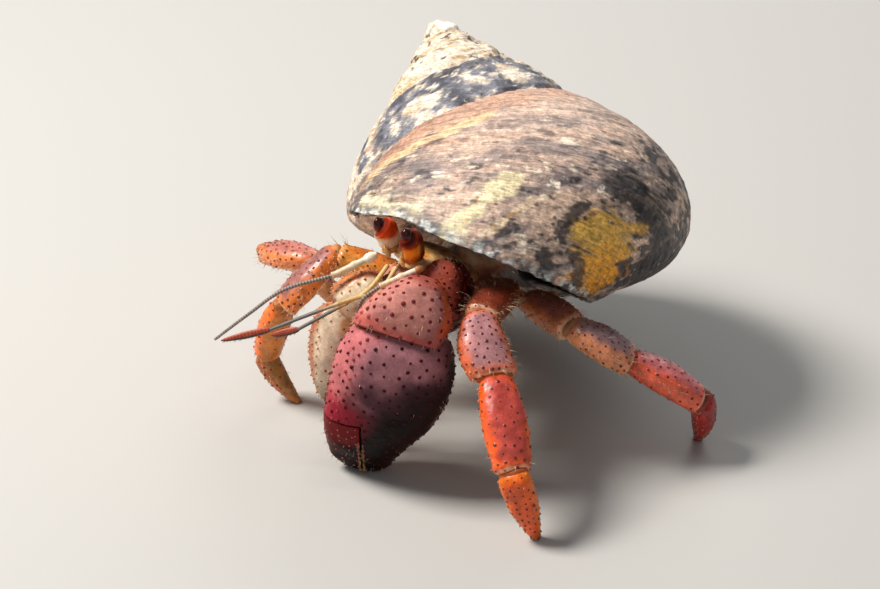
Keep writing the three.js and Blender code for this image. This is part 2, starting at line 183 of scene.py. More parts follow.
def to_mesh(name, points, faces):
    """faces: a list of arrays, each of triangles or of quads."""
    mesh = bpy.data.meshes.new(name)
    sizes = np.concatenate([np.full(len(f), f.shape[1]) for f in faces])
    corners = np.concatenate([f.ravel() for f in faces])
    mesh.vertices.add(len(points))
    mesh.vertices.foreach_set("co", np.asarray(points, np.float32).ravel())
    mesh.loops.add(len(corners))
    mesh.loops.foreach_set("vertex_index", corners.astype(np.int32))
    mesh.polygons.add(len(sizes))
    mesh.polygons.foreach_set("loop_start", (np.cumsum(sizes) - sizes).astype(np.int32))
    mesh.polygons.foreach_set("use_smooth", np.full(len(sizes), True))
    mesh.update()
    mesh.validate()
    return mesh


def paint(mesh, tint, flow=None):
    """A mesh's colour by point, and its place along the growth lines where the material has fibres."""
    colour = mesh.attributes.new("tint", "FLOAT_COLOR", "POINT")
    opaque = np.column_stack([np.clip(tint, 0, 1), np.ones(len(tint))])
    colour.data.foreach_set("color", opaque.astype(np.float32).ravel())
    if flow is not None:
        run = mesh.attributes.new("flow", "FLOAT_VECTOR", "POINT")
        run.data.foreach_set("vector", flow.astype(np.float32).ravel())


def piece(name, mesh, material, nodes=()):
    """A visual piece that rides on the root and stands for CAD nodes."""
    ob = bpy.data.objects.new(name, mesh)
    bpy.context.scene.collection.objects.link(ob)
    mesh.materials.clear()
    mesh.materials.append(material)
    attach(ob, "root")
    if nodes:
        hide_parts(*nodes)


def finish_shape(name, shape, material, nodes=(), flow=False):
    """The piece that a shape makes."""
    mesh = to_mesh(name, place(np.concatenate(shape.points)), shape.by_size())
    paint(mesh, np.concatenate(shape.tints), np.concatenate(shape.flows) if flow else None)
    piece(name, mesh, material, nodes)


def dress(node, shape, material):
    """The piece that stands for one CAD node."""
    finish_shape(f"{node}_look", shape, material, [node])


def remeshed(voxel, rounds):
    """Modifiers that rebuild a solid as one even skin and smooth it."""
    return (
        ("REMESH", dict(mode="VOXEL", voxel_size=voxel, use_smooth_shade=True)),
        ("SMOOTH", dict(factor=0.5, iterations=rounds)),
    )


def modified(points, faces, *modifiers):
    """What modifiers, each (kind, settings), make of points and faces in mm, as (points, [triangles])."""
    helpers = []

    def helper(name, *solid):
        ob = bpy.data.objects.new(name, to_mesh(name, *solid))
        bpy.context.scene.collection.objects.link(ob)
        helpers.append(ob)
        return ob

    work = helper("work", points, faces)
    for kind, settings in modifiers:
        m = work.modifiers.new(kind, kind)
        for key, value in settings.items():
            if key == "cutter":
                m.object = helper("cutter", *value)
            else:
                setattr(m, key, value)
    mesh = bpy.data.meshes.new_from_object(work.evaluated_get(bpy.context.evaluated_depsgraph_get()))
    mesh.calc_loop_triangles()
    tri = np.empty(len(mesh.loop_triangles) * 3, np.int32)
    mesh.loop_triangles.foreach_get("vertices", tri)
    co = np.empty(len(mesh.vertices) * 3, np.float32)
    mesh.vertices.foreach_get("co", co)
    old = [mesh, *(ob.data for ob in helpers)]
    for ob in helpers:
        bpy.data.objects.remove(ob)
    for data in old:
        bpy.data.meshes.remove(data)
    return co.reshape(-1, 3).astype(float), [tri.reshape(-1, 3)]


# Materials
# How far red, green and blue light go into skin, in metres.
SKIN_DEPTHS = (0.0016, 0.0006, 0.0003)


def shader(name, rough, shine, mottle, grain, bump, coat=0.0, soft=0.0, streaks=False):
    """A Principled material: the piece's own tint, broken up by noise at two sizes, with a bump of its own.

    mottle and grain are (scale, strength), and bump is (scale, strength, depth in metres). streaks draws
    fibres along the growth lines, and soft lets light into the skin."""
    mat = bpy.data.materials.new(name)
    mat.use_nodes = True
    tree = mat.node_tree

    def fill(node, values):
        for key, value in values.items():
            if isinstance(value, bpy.types.NodeSocket):
                tree.links.new(value, node.inputs[key])
            else:
                node.inputs[key].default_value = value

    def add(kind, values, **settings):
        node = tree.nodes.new(f"ShaderNode{kind}")
        for key, value in settings.items():
            setattr(node, key, value)
        fill(node, values)
        return node.outputs

    where = add("TexCoord", {})["Object"]

    def noisy(scale, detail=4, at=where, fading=0.6, warp=0.0):
        values = {"Vector": at, "Scale": scale, "Detail": detail, "Roughness": fading, "Distortion": warp}
        return add("TexNoise", values)["Fac"]

    def ramp(source, lo, hi, first, last):
        values = {"Value": source, "From Min": lo, "From Max": hi, "To Min": first, "To Max": last}
        return add("MapRange", values, interpolation_type="SMOOTHSTEP")["Result"]

    def blend(kind, share, under, over):
        # The Mix node's sockets for colours go by number.
        return add("Mix", {0: share, 6: under, 7: over}, data_type="RGBA", blend_type=kind)[2]

    def shade(colour, source, lo, hi, first, last):
        return blend("MULTIPLY", 1.0, colour, ramp(source, lo, hi, first, last))

    colour = add("Attribute", {}, attribute_name="tint")["Color"]
    big, small = noisy(mottle[0]), noisy(grain[0])
    for source, strength in ((big, mottle[1]), (small, grain[1])):
        colour = shade(colour, source, 0.3, 0.7, 1 - strength, 1 + strength)
    if streaks:
        run = add("Attribute", {}, attribute_name="flow")["Vector"]

        def fibres(stretch, detail, fading, warp):
            along_lines = add("VectorMath", {0: run, 1: stretch}, operation="MULTIPLY")[0]
            return noisy(1.0, detail, along_lines, fading, warp)

        fine = fibres((1.0, 0.26, 0.0), 6, 0.72, 0.25)
        broad = fibres((0.3, 0.1, 0.0), 4, 0.6, 0.4)
        colour = shade(colour, fine, 0.3, 0.7, 0.6, 1.32)
        colour = shade(colour, broad, 0.35, 0.68, 0.78, 1.18)
        colour = blend("MIX", ramp(fine, 0.62, 0.72, 0.0, 0.3), colour, (*rgb(232, 208, 182), 1))
        chips = add("TexVoronoi", {"Vector": where, "Scale": 240})["Distance"]
        some = ramp(noisy(160), 0.56, 0.62, 0.0, 0.8)
        flakes = add("Math", {0: ramp(chips, 0.1, 0.16, 1.0, 0.0), 1: some}, operation="MULTIPLY")[0]
        colour = blend("MIX", flakes, colour, (*rgb(235, 226, 214), 1))
    height = fine if streaks else noisy(bump[0], 5)
    look = {
        "Base Color": colour,
        "Roughness": ramp(big, 0.3, 0.7, rough - 0.07, rough + 0.07),
        "Specular IOR Level": shine,
        "Coat Weight": coat,
        "Coat Roughness": 0.12,
        "Normal": add("Bump", {"Strength": bump[1], "Distance": bump[2], "Height": height})["Normal"],
    }
    if soft:
        look |= {"Subsurface Weight": soft, "Subsurface Radius": SKIN_DEPTHS, "Subsurface Scale": 1.0}
    fill(tree.nodes["Principled BSDF"], look)
    return mat


SHELL_PAINT = shader("shell_paint", 0.5, 0.5, (800, 0.26), (2200, 0.2), (0, 0.5, 0.00022), streaks=True)
CUTICLE = shader("cuticle", 0.4, 0.5, (420, 0.2), (2600, 0.13), (2200, 0.35, 0.0001), coat=0.12)
CLAW = shader("claw_cuticle", 0.4, 0.07, (300, 0.14), (2400, 0.1), (1500, 0.3, 0.0001))
SKIN = shader("skin", 0.55, 0.5, (300, 0.22), (1500, 0.12), (900, 0.6, 0.00025), soft=0.15)
STALK = shader("eyestalk", 0.3, 0.14, (500, 0.15), (2500, 0.06), (1200, 0.1, 0.00004), soft=0.1)
CORNEA = shader("cornea", 0.13, 0.32, (900, 0.1), (3000, 0.05), (6000, 0.02, 0.00001))
FEELER = shader("feeler", 0.45, 0.5, (900, 0.15), (4000, 0.1), (3000, 0.3, 0.00005))
BRISTLE = shader("bristle", 0.4, 0.5, (500, 0.15), (2500, 0.1), (2500, 0.1, 0.00002))

# Shell
# The coil's tip, its axis, and two directions across the axis.
APEX = V(-45.3, 44.9, 57.2)
AXIS = unit(V(0.677, -0.198, -0.709))
OUT = V(0.544, -0.515, 0.663)
OUT = unit(OUT - OUT @ AXIS * AXIS)
SIDE = np.cross(AXIS, OUT)
# Turn of the coil in radians, growth a turn, last degree, thickness of the wall, radius of the hollow axis.
PHASE, GROWTH, SHELL_END, WALL, UMBILICUS = 1.457, 1.765, 50, 1.3, 2.2
# The whorl's section: its middle (r, h), half axes and tilt, and the swelling of its shoulder.
SECTION_MIDDLE, SECTION_HALF, SECTION_TILT = (13.5, 51.7), (23.3, 36.1), -0.972
SHOULDER_AT, SHOULDER_RISE, SHOULDER_WIDTH = -0.381, 0.082, 0.66
# Degrees where the thin-walled whorls start, and where their rows crowd towards the rim.
THIN_START, THIN_SEAM = -402.0, -190.0
# A point of the mouth's plane, the way out of it, and the direction along its long side.
MOUTH = V(6.2, 9.4, 38.3)
MOUTH_NORMAL = unit(V(0.124, -0.541, -0.832))
MOUTH_ALONG = V(0.735, 0.614, -0.29)
MOUTH_ALONG = unit(MOUTH_ALONG - MOUTH_ALONG @ MOUTH_NORMAL * MOUTH_NORMAL)


def weave(s, f, across, down, seed, octaves, shift=0):
    """Noise stretched along the growth lines; s and f are degrees along them and down the whorl."""
    return noise(np.stack([s / across, f / down, np.full_like(s, shift)], -1), seed, octaves)


def section(phi, inset):
    """A point of the whorl's section at angle phi, as (r, h)."""
    c, s = math.cos(SECTION_TILT), math.sin(SECTION_TILT)
    turn = np.arctan2(np.sin(phi - SHOULDER_AT), np.cos(phi - SHOULDER_AT))
    swell = 1 + SHOULDER_RISE * np.exp(-((turn / SHOULDER_WIDTH) ** 2))
    u, w = (SECTION_HALF[0] - inset) * swell * np.cos(phi), (SECTION_HALF[1] - inset) * swell * np.sin(phi)
    return SECTION_MIDDLE[0] + u * c - w * s, SECTION_MIDDLE[1] + u * s + w * c


def section_angles(inset, inner, count, focus=0.0):
    """Angles of the section's stretch outside the umbilicus; `focus` crowds them where older whorls show."""
    fine = np.linspace(-math.pi, math.pi, 7201)[:-1]
    inside = section(fine, inset)[0] >= inner
    start = np.flatnonzero(inside & ~np.roll(inside, 1))[0]
    span = int(inside.sum()) - 1
    t = np.linspace(0, 1, count)
    t = t - focus * np.sin(2 * math.pi * (t - 0.02)) / (2 * math.pi)
    return fine[start] + 2 * math.pi * span / 7200 * (t - t[0]) / (t[-1] - t[0])


def coil_point(degrees, r, h, tuck=True):
    """Points (r, h) of the section at their place on the coil; tuck draws the last part in."""
    scale = GROWTH ** (degrees / 360)
    angle = np.radians(degrees) + PHASE
    radial = np.cos(angle)[..., None] * OUT + np.sin(angle)[..., None] * SIDE
    drawn = 1 - 0.3 * step(-70, 30, degrees) if tuck else 1
    return APEX + (scale * r * drawn)[..., None] * radial + (scale * h)[..., None] * AXIS


def pressed(p, bulge=3.2):
    """Points past the plane of the mouth drawn back to a low bulge."""
    past = np.maximum((p - MOUTH) @ MOUTH_NORMAL + 1, 0)
    return p + (bulge * (1 - np.exp(-past / bulge)) - past)[..., None] * MOUTH_NORMAL


def past_mouth(p):
    """How far points lie beyond the rim's arched plane."""
    u = (p - MOUTH) @ MOUTH_ALONG
    rise = 1.2 * (1 - (np.clip(u, -42, 42) / 30) ** 2) + 1.2 * np.exp(-(((u + 11) / 5) ** 2))
    return (p - MOUTH) @ MOUTH_NORMAL + rise


def rim_angles(phi, inset):
    """Where each line of the whorl reaches the rim, in degrees."""
    degrees = np.linspace(-189, SHELL_END, 1400)
    r, h = section(phi, inset)
    d, rr = np.meshgrid(degrees, r, indexing="ij")
    beyond = past_mouth(coil_point(d, rr, np.broadcast_to(h, rr.shape))) > 0
    first = np.where(beyond.any(0), beyond.argmax(0), len(degrees) - 1)
    return np.maximum(degrees[first], -187)


def normals(grid):
    """Outward normals of a grid of points whose columns wrap."""
    d0 = np.gradient(grid, axis=0)
    d1 = np.roll(grid, -1, 1) - np.roll(grid, 1, 1)
    n = np.cross(d1, d0)
    return n / (np.linalg.norm(n, axis=-1, keepdims=True) + 1e-9)


def growth_line(degrees, phi):
    """Degrees round the coil, measured along the slanting growth lines."""
    f = np.clip(np.degrees(phi), -60, 200)
    return degrees + 0.55 * f + 72.8 * (1 - np.exp(-f / 28))


def streak(ends, width, theta, phi, wobble):
    """1 inside a band between points (theta, phi), fading out at its ragged edge."""
    p = np.stack([theta, phi], -1)
    best = np.full(theta.shape, 1e9)
    for a, b in zip(ends[:-1], ends[1:]):
        a, b = V(*a), V(*b)
        t = np.clip((p - a) @ (b - a) / ((b - a) @ (b - a)), 0, 1)
        best = np.minimum(best, np.linalg.norm(p - a - t[..., None] * (b - a), axis=-1))
    return step(1.35, 0.6, best / width + wobble)


# Patches of paint on the shell: a line of (theta, phi) in degrees, half width, and a colour where it varies.
PATCHES = [
    ([(-38, 10), (-52, 10), (-72, 11), (-90, 10)], 2.6, rgb(238, 206, 160)),
    ([(-42, 24), (-52, 34), (-62, 42)], 3.6, rgb(238, 222, 186)),
    ([(-66, 64), (-76, 56), (-88, 49)], 4.0, rgb(246, 228, 182)),
    ([(-106, 81), (-112, 92), (-114, 99)], 7.0, rgb(255, 196, 84)),
    ([(-108, 100), (-112, 112), (-106, 120)], 8.6, rgb(255, 174, 34)),
    ([(-112, 84), (-125, 87)], 3.0, rgb(240, 184, 86)),
    ([(-80, 66), (-92, 60)], 1.8, rgb(214, 190, 160)),
]
DARK_PATCHES = [
    ([(-120, 60), (-125, 72), (-131, 84), (-137, 96), (-134, 112)], 6.0),
    ([(-97, 76), (-104, 70)], 2.4),
    ([(-100, 92), (-102, 110)], 2.0),
    ([(-116, 104), (-122, 104)], 1.6),
]
SPIRE_DARK = [
    ([(-436, 14), (-446, 30), (-458, 36), (-468, 34)], 6.5),
    ([(-487, 40), (-493, 46)], 4.5),
    ([(-398, 27), (-400, 38)], 4.5),
    ([(-390, 15), (-402, 12)], 3.0),
    ([(-434, -6), (-458, -2), (-476, 8), (-492, 12)], 3.2),
    ([(-372, 20), (-384, 44)], 4.0),
    ([(-500, 24), (-512, 44)], 4.0),
]
SPIRE_CREAM = [
    ([(-425, 26), (-419, 26)], 6.5),
    ([(-480, 30), (-476, 22)], 6.5),
    ([(-452, 21), (-450, 19)], 1.8),
    ([(-442, 12), (-444, 12)], 1.8),
]


def shell_tint(degrees, phi, p):
    """The shell's paint by place on the coil and by point."""
    f = np.degrees(phi)
    s = growth_line(degrees, phi)
    fibre = weave(s, f, 1.5, 9, 1, 3)
    cloud = weave(s, f, 14, 8, 2, 5)
    blot = 0.65 * noise(p / 3.6, 30, 4) + 0.5 * weave(s, f, 6, 3.5, 3, 4, 5)
    chip = noise(p / 1.5, 31, 3) + 0.5 * fibre
    grain = noise(p / 0.6, 32, 2)
    pale = 0.6 * noise(p / 1.9, 34, 3) + 0.55 * weave(s, f, 2.6, 3.2, 33, 4, 3)
    ragged = 0.4 * weave(s, f, 4, 6, 4, 4, 9) + 0.3 * fibre + 0.15 * chip
    # More dark blotches and fewer pale flecks lower down the whorl and further back from the lip.
    darker_low_and_back = 0.5 * step(45, 105, f) + 0.4 * step(-100, -150, degrees)
    tan, slate, night = rgb(214, 182, 160), rgb(138, 124, 122), rgb(46, 42, 44)

    def inside(ends, width):
        return streak(ends, width, degrees, f, ragged)

    colour = layered(
        tan,
        (slate, step(-0.5, 0.7, cloud + 0.5 * blot)),
        (rgb(206, 148, 120), 0.5 * step(0.1, 0.8, fibre - 0.4 * cloud) * step(80, 10, f)),
        (night, 0.85 * step(0.25, 0.6, blot + 0.35 * chip + darker_low_and_back - 0.15)),
        (rgb(74, 62, 62), 0.8 * step(0.45, 0.75, chip - 0.1)),
        (rgb(246, 228, 204), 0.85 * step(0.4, 0.62, pale + 0.2 * fibre - 0.3 * darker_low_and_back)),
        (rgb(244, 210, 188), 0.4 * step(50, 12, f) * step(-62, -90, degrees)),
    )
    # Painted shade: the paint is up to a third darker towards the lip, to tone down the strong key light
    # there.
    colour = colour * (1 - 0.36 * step(-82, -40, degrees))[..., None]
    for ends, width, patch in PATCHES:
        worn = mix(patch, patch * V(0.72, 0.58, 0.45), step(0.3, 0.9, blot + 0.6 * chip))
        colour = mix(colour, worn, 0.94 * inside(ends, width))
    for ends, width in DARK_PATCHES:
        worn = mix(night, rgb(112, 96, 88), step(0.3, 0.7, chip))
        colour = mix(colour, worn, 0.85 * inside(ends, width))
    under_suture = step(13, 3, f + 4 * blot) * step(-352, -330, degrees)
    colour = mix(colour, rgb(206, 150, 118), 0.55 * under_suture)
    # Older whorls: cream with slate blotches and small black specks.
    blob = noise(p / 3.2, 35, 3)
    dark = np.max([inside(*blotch) for blotch in SPIRE_DARK], axis=0)
    cream = np.max([inside(*blotch) for blotch in SPIRE_CREAM], axis=0)
    band = step(-512, -492, degrees) * step(-380, -398, degrees) * step(-0.52, -0.26, blob + 0.2 * chip)
    stain = np.clip(1.3 * dark + band - 1.5 * cream, 0, 1)
    groove = step(6, 2, np.abs(f - 2)) + step(7, 2, np.abs(f - 58))
    aged = layered(
        rgb(250, 232, 210),
        (rgb(232, 196, 150), step(-0.2, 0.7, cloud + 0.4 * blot)),
        (rgb(214, 150, 100), 0.6 * step(0.35, 0.7, blot)),
        (mix(rgb(128, 128, 138), rgb(78, 78, 88), step(-0.2, 0.5, blob + 0.3 * grain)), stain),
        (rgb(250, 240, 222), 0.9 * step(0.6, 0.7, chip) * stain),
        (rgb(46, 38, 38), 0.85 * step(0.72, 0.8, noise(p / 1.5, 36, 2)) * (1 - cream)),
        (rgb(70, 56, 52), 0.7 * step(-0.1, 0.5, 0.25 + chip) * groove),
    )
    colour = mix(colour, aged, step(-352, -366, degrees + 4 * chip))
    return colour * (1 + 0.14 * grain)[..., None]


def shell_relief(degrees, phi, p):
    """Height in mm of growth lines, flaking layers, worn bumps and the knobs of the young whorls."""
    f = np.degrees(phi)
    s = growth_line(degrees, phi)
    lines = weave(s, f, 1.6, 12, 6, 3)
    worn = noise(p / 6.0, 7, 3)
    layers = step(-0.04, 0.06, weave(s, f, 5, 8, 10, 4, 4))
    young = step(-360, -470, degrees)
    knobs = noise(p / 2.2, 8, 2)
    cords = np.sin(f * 0.75) * step(-330, -420, degrees)
    grit = noise(p / 0.9, 9, 2)
    body = 0.08 * lines + 0.16 * worn + 0.07 * grit + 0.09 * layers
    return body + young * (0.75 * np.maximum(knobs, -0.35) + 0.16 * grit) + 0.12 * cords


def flow_of(degrees, phi):
    """Place along the growth lines and across them, for the fibres of the shell's material."""
    return np.stack([growth_line(degrees, phi), np.degrees(phi), degrees], -1)


def add_young_whorls(shape):
    """A solid tube up to where the thin-walled one takes over."""
    columns = int(190 * FINE)
    phi = section_angles(0.0, UMBILICUS, columns, 0.55)
    degrees = np.arange(-1500, -397, 2.2 / FINE)
    d, f = np.meshgrid(degrees, phi, indexing="ij")
    grid = pressed(coil_point(d, *section(f, 0.08)))
    grid = grid + normals(grid) * (shell_relief(d, f, grid) * GROWTH ** (d / 720))[..., None]
    tint, flow = shell_tint(d, f, grid).reshape(-1, 3), flow_of(d, f).reshape(-1, 3)
    ends = [0, (len(degrees) - 1) * columns]
    shape.add(*tube(grid), np.concatenate([tint, tint[ends]]), np.concatenate([flow, flow[ends]]))


def add_worn_tip(shape):
    """A blunt lump over the first turns."""
    tip = Shape()
    middle = APEX + 4.3 * AXIS
    add_ball(tip, middle, AXIS, (3.3, 3.3, 3.0), rgb(250, 240, 220), OUT, 40)
    lump = tip.points[0]
    lump = lump + 0.5 * noise(lump / 1.8, 37, 2)[:, None] * unit(lump - middle)
    tint = mix(rgb(255, 246, 228), rgb(226, 196, 160), step(0, 0.8, noise(lump / 1.5, 38, 2)))
    shape.add(lump, tip.faces, tint, lump)


def add_thin_whorls(shape):
    """Out along the outer sheet, over the rim, and back along the inner one."""
    columns = int(400 * FINE)
    phi, phi_in = section_angles(0.0, UMBILICUS, columns), section_angles(WALL, UMBILICUS + 2 * WALL, columns)
    rim, rim_in = rim_angles(phi, 0.0), rim_angles(phi_in, WALL)
    t_old, t_new = np.linspace(0, 1, int(110 * FINE)), np.linspace(0, 1, int(330 * FINE))[1:]
    t_new = 1 - (1 - t_new) ** 1.15

    def sheet(phi, rim, inset, bulge):
        old = np.repeat((THIN_START + (THIN_SEAM - THIN_START) * t_old)[:, None], columns, 1)
        d = np.concatenate([old, THIN_SEAM + (rim - THIN_SEAM)[None, :] * t_new[:, None]])
        f = np.broadcast_to(phi, d.shape)
        return d, f, pressed(coil_point(d, *section(f, inset)), bulge)

    d, f, outer = sheet(phi, rim, 0.0, 3.2)
    outer = outer + normals(outer) * shell_relief(d, f, outer)[..., None]
    d_back, f_back, back = (x[::-3] for x in sheet(phi_in, rim_in, WALL, 1.6))
    near = outer[-1] * 0.85 + back[0] * 0.15 + 0.16 * MOUTH_NORMAL
    lip = outer[-1] * 0.55 + back[0] * 0.45 + 0.22 * MOUTH_NORMAL
    chipped = 0.28 * noise(outer[-1] / 1.3, 21, 2)[:, None] * MOUTH_NORMAL
    outer[-1] = outer[-1] + 0.5 * chipped
    grid = np.concatenate([outer, (near + chipped)[None], (lip + chipped)[None], back])

    to_rim = np.abs(rim[None, :] - d) + 1.5 * noise(outer / 2.5, 22, 3)
    outside = layered(
        shell_tint(d, f, outer),
        (rgb(60, 62, 70), 0.8 * step(6, 1.5, to_rim) * step(-0.5, 0.1, noise(outer / 1.6, 22, 3))),
        (rgb(214, 216, 210), 0.85 * step(4.5, 1, to_rim) * step(-0.1, 0.35, noise(outer / 1.2, 23, 3))),
    )
    edge = mix(rgb(150, 148, 144), rgb(40, 40, 44), step(-0.5, 0.2, noise(outer[-1] / 1.5, 25, 2)))
    inside = layered(
        rgb(84, 58, 30),
        (rgb(30, 22, 16), step(-0.5, 0.6, noise(back / 5, 24, 3))),
        (rgb(44, 40, 40), 0.8 * step(-8, -2, -np.abs(rim_in[None, :] - d_back))),
    )
    tint = np.concatenate([outside, edge[None], edge[None], inside])
    d, f = (np.concatenate([out, out[-1:], out[-1:], home]) for out, home in ((d, d_back), (f, f_back)))
    j = np.arange(columns)
    k, last = (j + 1) % columns, (len(grid) - 1) * columns
    close = np.stack([last + j, last + k, k, j], -1)
    faces = [grid_faces(len(grid), columns), close]
    shape.add(grid, faces, tint.reshape(-1, 3), flow_of(d, f).reshape(-1, 3))


def build_shell():
    shape = Shape()
    add_young_whorls(shape)
    add_worn_tip(shape)
    add_thin_whorls(shape)
    finish_shape("sea_snail_shell", shape, SHELL_PAINT, ["shell"], flow=True)


# Plates
def along(values, t):
    """A smooth curve through evenly spaced values."""
    v = np.asarray(values, float)
    n = len(v)
    p = np.clip(t, 0, 1) * (n - 1)
    i = np.minimum(np.floor(p).astype(int), n - 1)
    w = p - i
    p0, p1, p2, p3 = (v[np.clip(i + k, 0, n - 1)] for k in (-1, 0, 1, 2))
    m1, m2 = (p2 - p0) / 2, (p3 - p1) / 2
    return (2 * p1 - 2 * p2 + m1 + m2) * w**3 + (-3 * p1 + 3 * p2 - 2 * m1 - m2) * w**2 + m1 * w + p1


class Plate:
    """A rounded loft between two joints. t runs down it, and a round it: a quarter turn is the outer face."""

    def __init__(self, start, end, facing, width, depth, bow=0.0, sway=(0, 0), ends=(0.16, 0.16), back=0.0):
        axis = unit(end - start)
        self.start, self.end, self.axis = start - back * axis, end, axis
        self.length = np.linalg.norm(end - self.start)
        self.side = unit(np.cross(facing, axis))
        self.face = np.cross(axis, self.side)
        self.width, self.depth, self.bow, self.sway, self.ends = width, depth, bow, sway, ends

    def at(self, t, a, out=0.0):
        t, a = np.broadcast_arrays(np.asarray(t, float), np.asarray(a, float))

        def rounded(x, end):
            return np.where(x < end, np.sqrt(np.clip(1 - (1 - x / end) ** 2, 0, 1)), 1)

        def boxy(x):
            return np.sign(x) * np.abs(x) ** 0.85

        taper = rounded(t, self.ends[0]) * rounded(1 - t, self.ends[1])
        w, d = along(self.width, t) / 2 * taper + out, along(self.depth, t) / 2 * taper + out
        x = w * boxy(np.cos(a)) + along(self.sway, t)
        y = d * boxy(np.sin(a)) + 4 * t * (1 - t) * self.bow
        down = self.start + (t * self.length)[..., None] * self.axis
        return down + x[..., None] * self.side + y[..., None] * self.face

    def normal(self, t, a):
        t, a = np.clip(t, 0.02, 0.98), np.asarray(a, float)
        dt = self.at(t + 0.01, a) - self.at(t - 0.01, a)
        da = self.at(t, a + 0.03) - self.at(t, a - 0.03)
        return unit(np.cross(da, dt))

    def locate(self, p):
        """(t, a) of points near the plate's surface."""
        q = p - self.start
        t = np.clip(q @ self.axis / self.length, 0, 1)
        w, d = along(self.width, t) / 2, along(self.depth, t) / 2
        x = (q @ self.side - along(self.sway, t)) / w
        y = (q @ self.face - 4 * t * (1 - t) * self.bow) / d
        return t, np.arctan2(y, x) % (2 * math.pi)

    def grid(self, rings, sides):
        t = (1 - np.cos(math.pi * (np.arange(rings) + 0.25) / (rings - 0.5))) / 2
        a = 2 * math.pi * (np.arange(sides) + 0.5) / sides
        return np.meshgrid(t, a, indexing="ij")

    def solid(self, rings, sides):
        """The plate's plain skin as (points, faces)."""
        return tube(self.at(*self.grid(rings, sides)))


def anywhere(t, a, p):
    """Lets tubercles and bristles grow all over a plate."""
    return np.ones(t.shape, bool)


def thinned(p, gap):
    """The points that stay when each has to lie its gap away from those kept before it."""
    kept, points = [], np.empty((0, 3))
    for i in range(len(p)):
        if np.all(np.linalg.norm(points - p[i], axis=1) > gap[i]):
            kept.append(i)
            points = np.vstack([points, p[i]])
    return kept


def scatter(plate, spots, tries, allow):
    """Places (t, a) on a plate as far apart as spots(t, a) asks."""
    t, a = rng.random(tries) * 0.96 + 0.02, rng.random(tries) * 2 * math.pi
    p = plate.at(t, a)
    gap = np.broadcast_to(spots(t, a)[0], t.shape)
    good = np.flatnonzero(allow(t, a, p))
    kept = good[thinned(p[good], gap[good])]
    return t[kept], a[kept]


def hoops(centre, radius, side, front, sides):
    """A ring of points round each centre."""
    turn = 2 * math.pi * np.arange(sides) / sides
    ring = np.cos(turn)[:, None] * side[:, None] + np.sin(turn)[:, None] * front[:, None]
    return centre[:, None] + radius[:, None, None] * ring


# The rings of a tubercle: (share of its radius, share of its height).
DOME = [(1.25, -0.12), (1.0, 0.2), (0.72, 0.62), (0.36, 0.92)]
DOME_SIDES = 8
# How far a tubercle leans, as a share of its height: its rings and its peak.
LEAN, PEAK_LEAN = 0.55, 0.62


def add_domes(shape, roots, up, lean, radius, height, base, tip):
    """Small leaning cones with rounded tops, one at each root."""
    if not len(roots):
        return
    side = unit(np.cross(lean, up))
    front = np.cross(up, side)
    rings = []
    for wide, high in DOME:
        centre = roots + up * (high * height)[:, None] + front * (LEAN * max(high, 0) * height)[:, None]
        rings.append(hoops(centre, wide * radius, side, front, DOME_SIDES))
    peak = roots + up * height[:, None] + front * (PEAK_LEAN * height)[:, None]
    block = np.concatenate([np.stack(rings, 1).reshape(len(roots), -1, 3), peak[:, None]], 1)
    per = block.shape[1]
    tone = np.append(np.repeat([0.0, 0.85, 1.0, 1.0], DOME_SIDES), 1.0)
    tip = np.broadcast_to(tip, base.shape)
    j = np.arange(DOME_SIDES)
    last = per - 1 - DOME_SIDES
    top = np.stack([last + j, last + (j + 1) % DOME_SIDES, np.full(DOME_SIDES, per - 1)], -1)
    faces = repeated([grid_faces(len(DOME), DOME_SIDES), top], len(roots), per)
    shape.add(block.reshape(-1, 3), faces, mix(base[:, None], tip[:, None], tone).reshape(-1, 3))


def repeated(faces, count, per, first=0):
    """Faces of one block of `per` points, repeated for count blocks."""
    shift = (np.arange(count) * per + first)[:, None, None]
    return [(f + shift).reshape(-1, f.shape[1]) for f in faces]


def plate_shape(plate, tint, spots, size=(64, 80), relief=0.1, seed=1, allow=anywhere, base=None, tries=1500,
                swell=None):
    """A plate's skin with its tubercles.

    tint(t, a, p) is its colour, spots(t, a) gives the spacing, radius, height and colour of its tubercles,
    and swell(p) lifts the skin. size is the number of rings and of sides; a base of (points, faces) stands in
    for the plain skin."""
    shape = Shape()
    if base is None:
        t, a = plate.grid(*(max(int(n * FINE), 16) for n in size))
        p = plate.at(t, a)
        lumps = relief * noise(p / 2.4, seed, 3) + 0.3 * relief * noise(p / 0.7, seed + 1, 2)
        lumps *= step(0.0, 0.06, t) * step(0.0, 0.06, 1 - t)
        lumps += swell(p) if swell else 0
        p = plate.at(t, a, lumps)
        shape.add(*tube(p), with_ends(tint(t, a, p).reshape(-1, 3)))
    else:
        points, faces = base
        shape.add(points, faces, tint(*plate.locate(points), points))
    if spots:
        t, a = scatter(plate, spots, tries, allow)
        p = plate.at(t, a)
        _, radius, height, colour = spots(t, a)
        grown = rng.uniform(0.75, 1.2, len(t))
        up, skin = plate.normal(t, a), tint(t, a, p)
        add_domes(shape, p, up, plate.axis, radius * grown, height * grown, skin, colour)
    return shape


# Bristles
HAIR = rgb(232, 214, 176)
BROWN_HAIR = rgb(150, 92, 48)
COATS = {}
CELLS = []
# The coat's map: its squares a side, how far the roots spread over a square, and its empty margin.
MAP_SIDE, MAP_SPREAD, MAP_MARGIN = 7, 0.12, 0.01
# The rings of a hair: (share of its length, share of its width).
HAIR_RINGS = [(0.0, 1.0), (0.35, 0.8), (0.7, 0.5), (1.0, 0.12)]


def coat_cell(name):
    """Each plate has its own square on the coat's map, its t and a running up and across."""
    if name not in CELLS:
        CELLS.append(name)
    k = CELLS.index(name)
    return V(k % MAP_SIDE, k // MAP_SIDE) / MAP_SIDE


